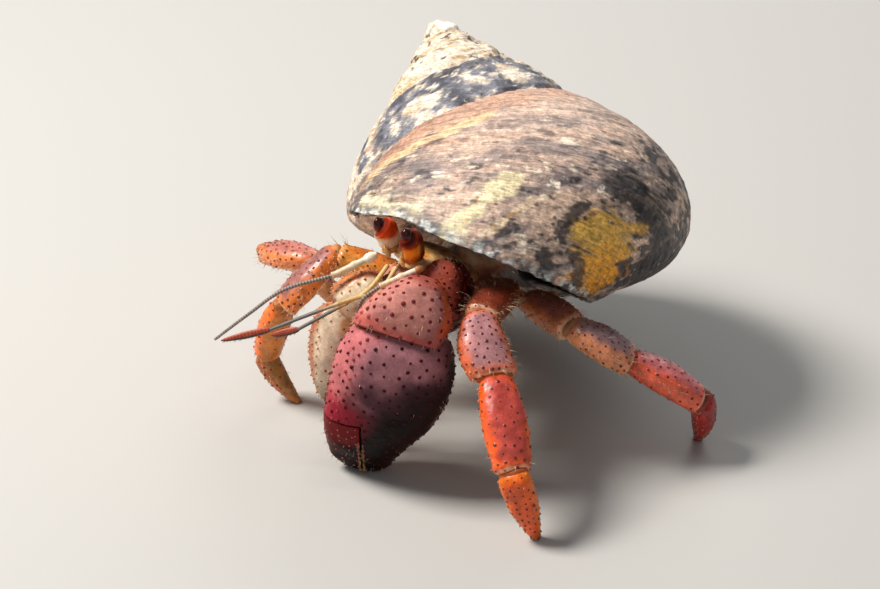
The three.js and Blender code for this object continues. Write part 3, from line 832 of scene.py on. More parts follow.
def add_bristles(coat, name, plate, t, a, length, width, colour):
    """Thin curved hairs on a plate: three-sided, tapering, bent towards its far end."""
    if not len(t):
        return
    tall = COATS.setdefault(coat, {"points": [], "faces": [], "tints": [], "uvs": [], "count": 0})
    roots, up = plate.at(t, a), plate.normal(t, a)
    side = unit(np.cross(plate.axis, up) + 1e-6)
    wander = rng.normal(0, 0.16, (len(roots), 3))
    rings = []
    for along_hair, girth in HAIR_RINGS:
        bend = along_hair**1.7
        way = up * (along_hair - 0.28 * bend) + plate.axis * (0.45 * bend) + wander * bend
        centre = roots - 0.15 * up + length[:, None] * way
        rings.append(hoops(centre, girth * width / 2, side, np.cross(up, side), 3))
    block = np.stack(rings, 1).reshape(len(roots), -1, 3)
    per = block.shape[1]
    ends = np.array([[9, 10, 11], [2, 1, 0]])
    tall["points"].append(block.reshape(-1, 3))
    tall["faces"].append(repeated([grid_faces(len(HAIR_RINGS), 3), ends], len(roots), per, tall["count"]))
    tall["tints"].append(np.repeat(np.broadcast_to(colour, roots.shape), per, 0))
    corner = coat_cell(name) + (MAP_MARGIN + MAP_SPREAD * np.stack([(a / (2 * math.pi)) % 1, t], -1))
    patch = np.stack([np.tile([0, 0.0015, 0.003], 4), np.repeat([0, 0.001, 0.002, 0.003], 3)], -1)
    tall["uvs"].append((corner[:, None] + patch[None]).reshape(-1, 2))
    tall["count"] += len(roots) * per


def edge_bristles(coat, name, plate, count, length, allow=anywhere):
    """Bristles over a plate, most along its margins and its far rim."""
    t, a = rng.random(count * 3) * 0.94 + 0.03, rng.random(count * 3) * 2 * math.pi
    chance = 0.12 + 0.9 * np.exp(-((np.sin(a) / 0.32) ** 2)) + 0.7 * (t > 0.9)
    good = (rng.random(len(t)) < chance) & allow(t, a, plate.at(t, a))
    t, a = t[good][:count], a[good][:count]
    long = length * rng.uniform(0.5, 1.25, len(t))
    tone = mix(HAIR, BROWN_HAIR, rng.random(len(t)) * 0.5)
    add_bristles(coat, name, plate, t, a, long, rng.uniform(0.09, 0.14, len(t)), tone)


# Skin between the plates
MEMBRANES = Shape()


def add_ball(shape, centre, axis, radii, tint, facing=UP, detail=24):
    """A ball of three radii (across, across the face, along the axis)."""
    axis = unit(axis)
    side = unit(np.cross(facing, axis))
    face = np.cross(axis, side)
    th = math.pi * (np.arange(detail) + 0.3) / (detail - 0.4)
    ph = 2 * math.pi * np.arange(detail) / detail
    th, ph = (x[..., None] for x in np.meshgrid(th, ph, indexing="ij"))
    across, through, down = radii
    grid = centre + across * (np.sin(th) * np.cos(ph)) * side + through * (np.sin(th) * np.sin(ph)) * face
    shape.add(*tube(grid - down * np.cos(th) * axis), tint)


# Walking legs
# Each leg's joints, from the body to the tip.
LEGS = {
    "leg_left_2": V([9, 19, 30], [16.8, 5.9, 30.8], [25.5, 2.3, 24], [36.4, -2.4, 12.2], [39, 0.9, -0.5]),
    "leg_left_3": V([7.5, 23.5, 25.5], [21.2, 23.3, 25], [28, 30.7, 19], [35.5, 40.7, 11], [30.4, 45, -0.5]),
    "leg_right_2": V([-6, 13.5, 25], [-18.2, 1, 31], [-22, -8, 21.7], [-28.4, -7.4, 9], [-23.5, -3.5, -0.5]),
    "leg_right_3": V([-8, 20, 22.5], [-27, 2.6, 25.6], [-40, 1.8, 22.7], [-44.5, 14, 13.5],
                     [-43.5, 23, -0.5]),
}
# Width and depth of each leg's plates against the plates below.
GIRTH = {"leg_left_2": (1, 1), "leg_left_3": (1, 1), "leg_right_2": (0.76, 0.9), "leg_right_3": (0.8, 0.86)}
# Plate, widths, depths, bow, sway to the front, number of bristles and their length.
LEG_PLATES = [
    ("merus", [4.6, 7, 6.6], [3.8, 5, 4.6], 0.5, 0.0, 150, 2.2),
    ("carpus", [5.4, 8.6, 8.2], [4, 5.4, 4.8], 0.7, 0.8, 110, 1.6),
    ("propodus", [5.8, 7.8, 6.4], [4.2, 5.4, 4.6], 0.6, 0.0, 80, 1.0),
    ("dactyl", [5.6, 5, 1.5], [4.4, 4, 1.5], 0.9, 0.0, 70, 0.7),
]
# Spacing and radius of the tubercles of each plate.
LEG_SPOTS = {"merus": (1.25, 0.18), "carpus": (1.1, 0.24), "propodus": (1.4, 0.25), "dactyl": (1.05, 0.21)}
# (margin, centre, underside) of each plate; the centre band runs down the outer face.
LEG_COLOURS = {
    "leg_left_2": [
        # Painted shade: this merus is darkened below its own brown-orange, as it lies in the shell's shadow.
        (rgb(140, 60, 26), rgb(120, 48, 28), rgb(196, 176, 116)),
        (rgb(230, 110, 64), rgb(186, 128, 130), rgb(200, 116, 66)),
        (rgb(244, 92, 14), rgb(206, 78, 66), rgb(226, 86, 20)),
        (rgb(244, 116, 8), rgb(236, 88, 14), rgb(226, 104, 14)),
    ],
    "leg_left_3": [
        (rgb(206, 118, 70), rgb(168, 96, 78), rgb(190, 140, 84)),
        (rgb(226, 140, 96), rgb(140, 108, 110), rgb(216, 150, 96)),
        (rgb(244, 100, 66), rgb(214, 110, 110), rgb(206, 80, 50)),
        (rgb(176, 26, 10), rgb(160, 20, 12), rgb(130, 22, 12)),
    ],
    "leg_right_2": [
        (rgb(240, 160, 60), rgb(216, 120, 50), rgb(240, 180, 90)),
        (rgb(232, 126, 48), rgb(166, 104, 96), rgb(240, 166, 70)),
        (rgb(255, 116, 6), rgb(244, 84, 8), rgb(216, 124, 30)),
        (rgb(196, 104, 34), rgb(184, 80, 26), rgb(180, 120, 60)),
    ],
    "leg_right_3": [
        (rgb(232, 146, 66), rgb(200, 116, 56), rgb(232, 164, 84)),
        (rgb(232, 132, 72), rgb(196, 116, 100), rgb(236, 160, 76)),
        (rgb(232, 80, 30), rgb(220, 80, 46), rgb(230, 130, 56)),
        (rgb(220, 96, 40), rgb(210, 88, 40), rgb(214, 130, 60)),
    ],
}
DARK_TIP = rgb(62, 18, 22)


def facing_from(way, a, b):
    """The direction across a plate from a to b that lies nearest to `way`."""
    return np.cross(np.cross(b - a, way), b - a)


def leg_tint(colours, seed, tips=0.0):
    """A leg plate's colour from its margin, centre and underside; tips is how dark its far end is."""
    margin, centre, under = colours

    def tint(t, a, p):
        up = np.sin(a) + 0.2 * noise(p / 1.6, seed, 3)
        band = step(0.42, 0.9, up) * step(0.02, 0.16, t) * step(0.98, 0.8, t)
        colour = layered(margin, (centre, band), (under, step(-0.25, -0.7, up)))
        return layered(
            colour,
            (colour * 0.62, 0.6 * step(0.1, 0.8, noise(p / 1.1, seed + 3, 3))),
            (rgb(240, 190, 150), 0.7 * step(0.93, 0.975, t + 0.02 * noise(p / 0.8, seed + 5, 2))),
            (DARK_TIP, tips * step(0.9, 0.99, t)),
        )

    return tint


def leg_spots(part, light):
    """Dark tubercles in loose rows, some of those along the margins pale."""
    spacing, size = LEG_SPOTS[part]

    def spots(t, a):
        up = np.sin(a)
        margin = np.abs(up) < 0.5
        pale = 0.55 * margin * (np.sin(t * 57 + a * 9) > 0.4)
        gap, height = np.where(up < -0.45, spacing * 1.7, spacing), np.where(margin, 0.22, 0.12)
        return gap, size, height, mix(rgb(104, 28, 22), light, pale)

    return spots


def build_leg(leg, joints):
    left = leg.startswith("leg_left")
    coat = "bristles_left_legs" if left else "bristles_right_legs"
    wide, deep = GIRTH[leg]
    for i, (part, width, depth, bow, front, hairs, hair) in enumerate(LEG_PLATES):
        node = f"{leg}_{part}"
        a, b, before = joints[i], joints[i + 1], joints[i - 1]
        facing = facing_from(a - before if part == "dactyl" else UP, a, b)
        sway = [0, -front, -front, 0] if left else [0, front, front, 0]
        width, depth = [w * wide for w in width], [d * deep for d in depth]
        plate = Plate(a, b, facing, width, depth, bow, sway, (0.16, 0.08), 1.5 if i else 0.0)
        seed = 40 + 7 * i + 31 * list(LEGS).index(leg)
        colours = LEG_COLOURS[leg][i]
        tint = leg_tint(colours, seed, tips=0.75 if part == "dactyl" else 0.0)
        spots = leg_spots(part, mix(colours[0], rgb(244, 190, 140), 0.4))
        shape = plate_shape(plate, tint, spots, (80, 84), 0.12, seed, tries=2200)
        dress(node, shape, CUTICLE)
        edge_bristles(coat, node, plate, hairs, hair)
        if i:
            turn = unit(unit(b - a) + unit(a - before))
            _, end_width, end_depth = LEG_PLATES[i - 1][:3]
            radii = (0.4 * wide * end_width[-1], 0.4 * deep * end_depth[-1], 1.2)
            add_ball(MEMBRANES, a - 0.5 * turn, turn, radii, mix(colours[2], rgb(120, 66, 44), 0.5), facing)


# Claws
CLAW_LEFT = V([4.5, 12, 27.5], [9.4, 1.5, 34], [10.4, -6.1, 28.4], [2, -7.8, -0.6])
CLAW_RIGHT = V([-3.5, 9, 27.5], [-1.8, 0.4, 32.4], [-7.2, -6, 27], [-8, -8.9, 9.3])
# A finger's edge is given as (share of the hand's length, mm across it); `inner` is the side that it is on.
CLAWS = {
    "claw_left": {
        "joints": CLAW_LEFT,
        "facing": V(0.702, -0.549, 0.454),
        "merus": dict(width=[8, 12.5, 12], depth=[5, 7.6, 7]),
        "carpus": dict(start=V(8.8, -0.9, 37.4), end=V(10.3, -6.3, 28), width=[6, 14, 15.6],
                       depth=[7, 11, 10], bow=0.8, sway=[1.3, 0.5, -0.9], ends=(0.14, 0.06), back=0.8),
        "hand": dict(width=[16.6, 20.6, 19.6, 14.9, 9.4], depth=[10, 14.5, 13.5, 9, 4], bow=0.8,
                     sway=[0.5, 0.4, -0.1, -1.5, -1.4], back=2.6),
        "finger": [(0.64, -13), (0.51, -2.5), (1.05, 0.4)],
        "inner": 1,
    },
    "claw_right": {
        "joints": CLAW_RIGHT,
        "facing": V(0.8, -0.6, 0.1),
        "merus": dict(width=[5, 6.8, 6.6], depth=[4.6, 6, 5.6]),
        "carpus": dict(start=V(-2.4, -0.2, 32.2), end=V(-7.2, -6, 27), width=[6.4, 8.6, 8],
                       depth=[5.5, 7, 6.2], bow=0.5, ends=(0.25, 0.15), back=0.6),
        "hand": dict(width=[6.8, 9, 8.4, 6.2, 2.4], depth=[5, 6.6, 6, 4.2, 2], bow=0.4, back=0.8),
        "finger": [(0.5, -7), (0.58, -0.6), (1.05, 0.2)],
        "inner": -1,
    },
}


def finger_zone(hand, claw, shift):
    """The movable finger's part of the hand: a prism (points, faces), and how far inside it points lie."""
    origin, inner = claw["joints"][2], claw["inner"]
    length = np.linalg.norm(hand.end - origin)
    edge = [(t * length + shift, c - shift) for t, c in claw["finger"]]
    outline = [*edge, (1.2 * length, edge[-1][1]), (1.2 * length, edge[0][1])]

    def raised(height):
        return [origin + d * hand.axis + inner * c * hand.side + height * hand.face for d, c in outline]

    points, faces = tube(np.array([raised(-30), raised(30)]))
    outwards = np.cross(points[1] - points[0], points[5] - points[0])
    if outwards @ (points[0] - points[:10].mean(0)) < 0:
        faces = [f[:, ::-1] for f in faces]
    root, corner, tip = (V(*place) for place in edge)
    to_root, to_tip = unit(root - corner), unit(tip - corner)

    def inside(p):
        q = p - origin
        x = np.stack([q @ hand.axis, inner * (q @ hand.side)], -1) - corner
        return np.minimum(x @ V(-to_root[1], to_root[0]), x @ V(to_tip[1], -to_tip[0]))

    return (points, faces), inside


def small_claw_tint(kind):
    """Cream faces with brown-orange margins."""

    def tint(t, a, p):
        cloud = noise(p / 3.5, 61, 3)
        colour = layered(
            rgb(250, 228, 194),
            (rgb(232, 178, 122), step(0.0, 0.8, cloud + 0.4 * np.cos(a))),
            (rgb(180, 84, 30), 0.9 * step(0.6, 0.9, np.abs(np.cos(a)) + 0.1 * cloud)),
        )
        if kind in ("hand", "finger"):
            return mix(colour, rgb(110, 58, 34), 0.75 * step(0.72, 1.0, t))
        rust = 0.6 * step(-0.4, 0.5, noise(p / 2.4, 63, 3))
        return layered(colour, (rgb(226, 140, 66), rust), (rgb(176, 82, 36), 0.8 * step(0.82, 1, t)))

    return tint


def big_claw_tint(kind):
    """Colour over the big claw's plates; the side that a points to at pi is its outer edge."""

    def merus(t, across, cloud, fine):
        return layered(
            rgb(66, 16, 16),
            (rgb(150, 58, 48), step(-0.2, 0.6, fine + 0.5 * cloud)),
            (rgb(186, 88, 66), 0.6 * step(0.7, 0.95, t)),
        )

    def carpus(t, across, cloud, fine):
        colour = layered(
            rgb(192, 126, 116),
            (rgb(156, 100, 98), step(-0.3, 0.6, cloud + 0.55 * across)),
            (rgb(208, 132, 120), 0.5 * step(-0.3, -0.9, across)),
            (rgb(190, 84, 74), 0.7 * step(0.78, 0.9, t + 0.04 * cloud - 0.05 * across)),
            (rgb(150, 56, 42), 0.75 * step(0.18, 0.06, t + 0.05 * cloud)),
            (rgb(198, 86, 36), 0.85 * step(0.62, 0.84, across) * step(0.9, 0.7, t)),
            (rgb(60, 12, 14), 0.9 * step(0.955, 0.975, t)),
        )
        return colour * (1 - 0.12 * fine)[..., None]

    def hand(t, across, cloud, fine):
        rim = step(-0.3, -0.85, across + 0.15 * cloud)
        warm = mix(rgb(208, 112, 112), rgb(180, 18, 48), step(0.34, 0.54, t + 0.06 * cloud))
        near = step(0.72, 0.6, t)
        return layered(
            rgb(168, 112, 118),
            (rgb(86, 52, 60), step(0.08, 0.34, t + 0.1 * cloud + 0.12 * across)),
            (rgb(14, 6, 6), step(0.2, 0.6, t + 0.08 * cloud + 0.3 * across)),
            (warm, (0.7 + 0.25 * step(0.3, 0.5, t)) * rim * near),
            (rgb(150, 20, 44), 0.7 * step(0.1, -0.5, across) * step(0.4, 0.5, t) * near),
            (rgb(48, 24, 18), 0.7 * step(0.3, 0.9, across) * step(0.1, 0.35, t)),
        )

    def finger(t, across, cloud, fine):
        return mix(rgb(104, 0, 4), rgb(18, 0, 1), step(0.64, 0.8, t + 0.06 * cloud + 0.12 * across))

    paints = {"merus": merus, "carpus": carpus, "hand": hand, "finger": finger}

    def tint(t, a, p):
        colour = paints[kind](t, np.cos(a), noise(p / 3.5, 61, 3), noise(p / 1.1, 62, 3))
        if kind in ("merus", "carpus"):
            return colour
        return mix(colour, rgb(40, 14, 18), 0.5 * step(-0.2, -0.9, np.sin(a)))

    return tint


def claw_spots(kind, big):
    """Tubercles of the claws, longer and closer along their margins."""

    def spots(t, a):
        across = np.cos(a)
        if not big:
            margin = np.abs(across) > 0.6
            colour = mix(rgb(150, 62, 30), rgb(240, 190, 130), 0.35 * margin)
            return np.where(margin, 1.1, 2.4), 0.22, np.where(margin, 0.36, 0.16), colour
        if kind == "finger":
            return 1.35, 0.16, 0.16, rgb(190, 90, 96)
        edge = across < -0.55
        dark = rgb(112, 40, 42) if kind == "carpus" else rgb(66, 18, 24)
        colour = mix(dark, rgb(226, 110, 110), 0.4 * edge * (np.sin(t * 71 + a * 17) > 0))
        if kind == "merus":
            return 0.95, 0.22, 0.16, colour
        gap = np.where(edge, 1.3, np.where(np.sin(a) > -0.2, 1.6, 2.6))
        return gap, 0.34 if kind == "carpus" else 0.3, np.where(edge, 0.3, 0.2), colour

    return spots


def cleft_places(hand, inside, sign, near, far, count, start):
    """Places (t, a) on the hand's outer face beside the cleft between the fingers, beyond t = start."""
    t, a = rng.uniform(0.5, 0.97, count * 40), rng.uniform(0.1, math.pi - 0.1, count * 40)
    depth = sign * inside(hand.at(t, a))
    good = np.flatnonzero((depth > near) & (depth < far))[:count]
    good = good[t[good] > start]
    return t[good], a[good]


def add_teeth(shape, hand, inside, sign, big):
    """Small blunt teeth along both edges of the cleft."""
    t, a = cleft_places(hand, inside, sign, 0.05, 0.4, 200, 0.7 if big else 0.6)
    kept = thinned(hand.at(t, a), np.full(len(t), 1.0 if big else 0.8))
    t, a = t[kept], a[kept]
    size = 0.26 * (rng.uniform(0.8, 1.15, len(t)) * (1 if big else 0.6))
    colour = mix(rgb(170, 92, 84), rgb(100, 34, 38), rng.random(len(t)))
    # Each tooth is half as bright at its foot: painted shade where it meets the claw.
    add_domes(shape, hand.at(t, a), hand.normal(t, a), hand.axis, size, size, colour * 0.5, colour)


def cleft_bristles(node, hand, inside, sign, big):
    t, a = cleft_places(hand, inside, sign, 0.0, 0.35, 260, 0.68 if big else 0.6)
    tone = mix(rgb(206, 176, 120), rgb(120, 78, 44), rng.random(len(t)) * 0.8)
    long = rng.uniform(0.4, 0.9, len(t)) * (1 if big else 0.7)
    add_bristles("bristles_claws", node, hand, t, a, long, rng.uniform(0.08, 0.11, len(t)), tone)


def build_claw(name, claw):
    big = name == "claw_left"
    joints, facing = claw["joints"], claw["facing"]
    material, make_tint = (CLAW, big_claw_tint) if big else (CUTICLE, small_claw_tint)
    arm = Plate(joints[0], joints[1], facing, **claw["merus"])
    wrist = Plate(facing=facing, **claw["carpus"])
    hand = Plate(joints[2], joints[3], facing, ends=(0.1, 0.1), **claw["hand"])
    for kind, plate, seed in (("merus", arm, 70), ("carpus", wrist, 75)):
        size = (110, 130) if big else (70, 80)
        shape = plate_shape(plate, make_tint(kind), claw_spots(kind, big), size, 0.14, seed, tries=2600)
        dress(f"{name}_{kind}", shape, material)
        edge_bristles("bristles_claws", f"{name}_{kind}", plate, 150, 1.1 if big else 0.9)
    t, a = hand.grid(int(150 * FINE), int(170 * FINE)) if big else hand.grid(70, 80)
    lumps = 0.12 * noise(hand.at(t, a) / 2.6, 80, 3) * step(0, 0.05, t) * step(0, 0.05, 1 - t)
    body = tube(hand.at(t, a, lumps))
    # The hand and the finger are one plate, cut in two by the finger's prism with a gap between them.
    for kind, shift, mode, sign in (("hand", 0.0, "DIFFERENCE", -1), ("finger", 0.32, "INTERSECT", 1)):
        node = f"{name}_{kind}"
        cutter, inside = finger_zone(hand, claw, shift)
        cut = ("BOOLEAN", dict(operation=mode, solver="EXACT", cutter=cutter))
        base = modified(*body, cut, *remeshed((0.16 if big else 0.11) / FINE, 4))

        def allow(t, a, p, sign=sign, inside=inside):
            return sign * inside(p) > 0.45

        shape = plate_shape(hand, make_tint(kind), claw_spots(kind, big), base=base, allow=allow, tries=5200)
        add_teeth(shape, hand, inside, sign, big)
        dress(node, shape, material)
        edge_bristles("bristles_claws", node, hand, 200, 1.0 if big else 0.8, allow)
        cleft_bristles(node, hand, inside, sign, big)
    for at, before in ((joints[1], arm), (joints[2], wrist)):
        radii = (0.22 * before.width[-1], 0.2 * before.depth[-1], 1.2)
        add_ball(MEMBRANES, at, before.axis, radii, rgb(96, 40, 32), facing)


# Trunk
# Start, end, facing, and the widths and depths of each kind.
REAR_LEG = [2.6, 3, 1.6], [2.2, 2.4, 1.6]
MAXILLIPED = [3, 3.4, 2], [2.4, 2.8, 1.6]
SMALL_LIMBS = {
    "rear_leg_left": (V(5, 24, 23), V(9.5, 29.5, 25), UP, *REAR_LEG),
    "rear_leg_right": (V(-11, 24, 20), V(-16.5, 27, 19), UP, *REAR_LEG),
    "maxilliped_left": (V(2.2, 4, 28), V(1.7, -0.8, 22.5), V(0.4, -0.8, 0.4), *MAXILLIPED),
    "maxilliped_right": (V(-2.2, 4, 28), V(-1.9, -0.8, 22.5), V(-0.2, -0.8, 0.4), *MAXILLIPED),
}
# Base, knee, width and depth of the stub of body skin that each limb grows from.
STUBS = [(joints[0], joints[1], 2.2, 1.9) for joints in LEGS.values()]
STUBS += [(CLAW_LEFT[0], CLAW_LEFT[1], 3.4, 2.6), (CLAW_RIGHT[0], CLAW_RIGHT[1], 2.4, 2.2)]
BACK_FACING = V(0.05, 0.5, 0.86)


def abdomen_tube(rings=90, sides=48):
    """The soft abdomen follows the middle of the shell's tube, folded across its length."""
    degrees = np.linspace(-66, -330, rings)
    middle = coil_point(degrees, np.full(rings, 25.0), np.full(rings, 58.0), tuck=False)
    girth = GROWTH ** (degrees / 360) * along([6.6, 8.4, 8.2, 7.4, 4], np.linspace(0, 1, rings))
    girth = girth * (1 + 0.035 * np.sin(degrees * 0.9)) * 0.97
    turn = np.radians(degrees) + PHASE
    radial = np.cos(turn)[:, None] * OUT + np.sin(turn)[:, None] * SIDE
    along_axis = np.broadcast_to(AXIS, radial.shape)
    return tube(hoops(middle, girth, radial, along_axis, sides))


def build_body():
    thorax = Plate(V(0.2, 1, 34), V(-3.5, 25, 22), BACK_FACING, [7.5, 13, 12], [5.5, 10, 10], ends=(0.2, 0.2))
    shape = Shape()
    blank = V(0, 0, 0)
    shape.add(*thorax.solid(60, 70), blank)
    shape.add(*abdomen_tube(), blank)
    for base, knee, w, d in STUBS:
        t_on = np.clip((base - thorax.start) @ thorax.axis / thorax.length, 0.1, 0.9)
        core = thorax.start + t_on * thorax.length * thorax.axis
        widths, depths = ([2.2 * size, 2 * size, 1.7 * size] for size in (w, d))
        stub = Plate(core, base + 1.6 * unit(knee - base), UP, widths, depths, ends=(0.3, 0.3))
        shape.add(*stub.solid(24, 24), blank)
    points, faces = modified(np.concatenate(shape.points), shape.by_size(), *remeshed(0.35 / FINE, 6))
    skin = Shape()
    skin.add(points, faces, layered(
        rgb(222, 178, 128),
        (rgb(176, 104, 78), step(-0.3, 0.6, noise(points / 3, 90, 3))),
        (rgb(140, 92, 96), 0.5 * step(20, 34, points[:, 1])),
    ))
    finish_shape("body_skin", skin, SKIN, ["thorax", "abdomen"])


def shield_tint(t, a, p):
    return layered(
        rgb(250, 170, 80),
        (rgb(250, 206, 136), step(-0.2, 0.6, noise(p / 2.2, 96, 3))),
        (rgb(206, 86, 36), 0.75 * step(0.15, 0.55, noise(p / 0.8, 95, 3))),
        (rgb(158, 82, 50), 0.5 * step(0.6, 0.9, np.abs(np.cos(a)))),
    )


def build_trunk():
    build_body()
    front, rear = V(0.2, 1.6, 38), V(-1.5, 17.5, 29.5)
    shield = Plate(front, rear, BACK_FACING, [9, 12, 11], [3, 4, 4], 0.6, ends=(0.2, 0.2))
    dress("carapace_shield", plate_shape(shield, shield_tint, None, (90, 100), 0.12, 97), CUTICLE)
    orange, straw, ochre = rgb(214, 130, 72), rgb(226, 168, 112), rgb(206, 138, 72)
    for i, (name, limb) in enumerate(SMALL_LIMBS.items()):
        plate = Plate(*limb)
        tint = leg_tint((orange, straw, ochre), 100 + i)
        dress(name, plate_shape(plate, tint, None, (40, 40), 0.08, 110 + i), CUTICLE)
        edge_bristles("bristles_claws", name, plate, 120, 1.6)


# Head
# Root, top and middle of the cornea.
EYES = {
    "left": (V(3.75, 2, 37.4), V(4.05, 1.1, 44.1), V(4.05, 0.1, 43.3)),
    "right": (V(-2.35, 1.65, 38), V(-3.05, 0.75, 43.7), V(-3.15, -0.3, 42.8)),
}
# Root, joint, and the points of the lash beyond it.
ANTENNAE = {
    "left": (V(6.4, 1.7, 37.8), V(3.2, -5.1, 35),
             V([1.5, -7.7, 32.4], [0.2, -7.6, 27.6], [-0.6, -6.4, 21.6])),
    "right": (V(-2.9, -1, 37.6), V(-6.4, -8.2, 34.2),
              V([-11.4, -14.9, 31.6], [-15.1, -19.8, 27], [-19.4, -24.3, 21.6])),
}
# The knob at an antenna's root: its share of the way to the joint, radii and colour.
KNOBS = {
    "left": (0.08, (0.75, 0.75, 1.0), rgb(186, 126, 72)),
    "right": (0.16, (0.9, 0.9, 1.35), rgb(246, 234, 212)),
}
# The points of the stick, and the tip of the blade beyond them.
ANTENNULES = {
    "left": (V([1.6, -0.2, 36.6], [1.6, -4, 33.2], [-0.1, -9.3, 32.4], [-7.4, -20.8, 27.4]),
             V(-13, -27.2, 25)),
    "right": (V([-0.6, -0.4, 36.2], [0.2, -5.4, 33.2], [-2.4, -9, 30.4], [-7, -15.2, 25.8]),
              V(-10.6, -18.4, 24.2)),
}
# Where along an antennule its stick is swollen.
KNEES = {"left": (0.18, 0.5), "right": (0.3, 0.52)}
HEAD_FACING = V(0, -1, 0.2)
PALE, STRAW, GREY = rgb(236, 224, 200), rgb(214, 176, 112), rgb(96, 90, 84)


def smooth_line(points, count):
    """A Catmull-Rom line through points, evenly spaced by length, with its directions and its length."""
    p = np.array(points, float)
    ends = np.vstack([2 * p[0] - p[1], p, 2 * p[-1] - p[-2]])
    rows = []
    for k in range(1, len(ends) - 2):
        a, b, c, d = ends[k - 1: k + 3]
        ta, tb, tc = (max(np.linalg.norm(x), 1e-6) ** 0.5 for x in (b - a, c - b, d - c))
        m1 = ((b - a) / ta - (c - a) / (ta + tb) + (c - b) / tb) * tb
        m2 = ((c - b) / tb - (d - b) / (tb + tc) + (d - c) / tc) * tb
        w = np.linspace(0, 1, 60, endpoint=k == len(ends) - 3)[:, None]
        rows.append((2 * b - 2 * c + m1 + m2) * w**3 + (-3 * b + 3 * c - 2 * m1 - m2) * w**2 + m1 * w + b)
    line = np.concatenate(rows)
    run = np.concatenate([[0], np.cumsum(np.linalg.norm(np.diff(line, axis=0), axis=1))])
    at = np.linspace(0, run[-1], count)
    out = np.stack([np.interp(at, run, line[:, k]) for k in range(3)], -1)
    return out, unit(np.gradient(out, axis=0)), run[-1]


def add_stick(shape, points, radius, tint, flat=1.0, count=None, sides=14):
    """A thin round stick; radius(s) and tint(s) by its share of the length, s."""
    count = count or int(max(smooth_line(points, 10)[2] * 9 * FINE, 20))
    line, ahead, _ = smooth_line(points, count)
    side = unit(np.cross(ahead, UP))
    s = np.linspace(0, 1, count)
    r = radius(s)
    r[[0, -1]] *= 0.55
    grid = hoops(line, r, side, flat * np.cross(side, ahead), sides)
    shape.add(*tube(grid), with_ends(np.repeat(tint(s), sides, 0)))


def bump_at(s, middle, width):
    return np.exp(-(((s - middle) / width) ** 2))


def build_eye(side, root, top, cornea):
    axis = top - root
    facing_viewer = unit(V(0.79, -0.62, 0))

    def from_cornea(p):
        return np.linalg.norm((p - cornea) * V(1, 1, 0.75), axis=-1)

    def tint(t, a, p):
        cloud = noise(p / 0.9, 120, 3)
        brown = step(2.05, 1.45, from_cornea(p))
        if side == "right":
            return layered(
                rgb(206, 62, 16),
                (rgb(232, 84, 14), step(0.8, 0.6, t + 0.06 * cloud)),
                (rgb(252, 222, 186), 0.95 * step(0.68, 0.5, t + 0.05 * cloud - 0.14 * np.cos(a))),
                (rgb(96, 20, 6), 0.85 * brown),
                (rgb(120, 56, 30), 0.9 * step(0.14, 0.06, t)),
            )
        # On the left stalk, dark brown where the surface turns away from the camera is painted shade round
        # its edges; its bright amber where it faces the camera is partly a painted glow of light through the
        # stalk.
        front = unit(np.cross(axis, np.cross(p - root, axis))) @ facing_viewer
        return layered(
            rgb(255, 146, 36),
            (rgb(150, 44, 10), step(0.5, 0.74, t + 0.1 * cloud)),
            (rgb(168, 66, 14), 0.8 * step(0.36, 0.24, t + 0.05 * cloud)),
            (rgb(72, 14, 4), 0.95 * brown),
            (rgb(96, 30, 12), 0.9 * step(0.8, 0.4, front)),
            (rgb(236, 190, 130), 0.8 * step(0.16, 0.08, t)),
        )

    def rim(p):
        """The raised lid round the cornea."""
        return 0.42 * bump_at(from_cornea(p), 1.6, 0.42)

    stalk = Plate(root, top, HEAD_FACING, [2.7, 2.9, 2.5], [4.1, 4.1, 3.6], ends=(0.3, 0.3))
    shape = plate_shape(stalk, tint, None, (110, 110), 0.04, 121, swell=rim)
    dress(f"eyestalk_{side}", shape, STALK)
    ball = Shape()
    add_ball(ball, cornea, axis, (0.97, 1.17, 1.52), rgb(34, 12, 8), HEAD_FACING, 48)
    height = (ball.points[0] - cornea) @ unit(axis)
    # The cornea is dark maroon, turning lighter red towards its bottom as a painted soft highlight.
    ball.tints = [mix(rgb(54, 8, 3), rgb(150, 36, 8), step(0.5, -1.3, height))]
    dress(f"eye_{side}", ball, CORNEA)
    add_ball(MEMBRANES, root + 0.25 * unit(axis), axis, (1.35, 1.9, 0.9), rgb(206, 152, 96), HEAD_FACING)
    # A small pointed scale guards the foot of each stalk.
    inner = -1 if side == "left" else 1
    foot, tip = root + V(inner * 1.2, -1.3, -0.8), root + V(inner * 1.0, -2.3, 1.6)
    scale = Plate(foot, tip, V(0, -1, 0.3), [1.1, 1.2, 0.5], [0.8, 0.7, 0.4], ends=(0.3, 0.3))
    MEMBRANES.add(*scale.solid(24, 24), rgb(220, 170, 100))


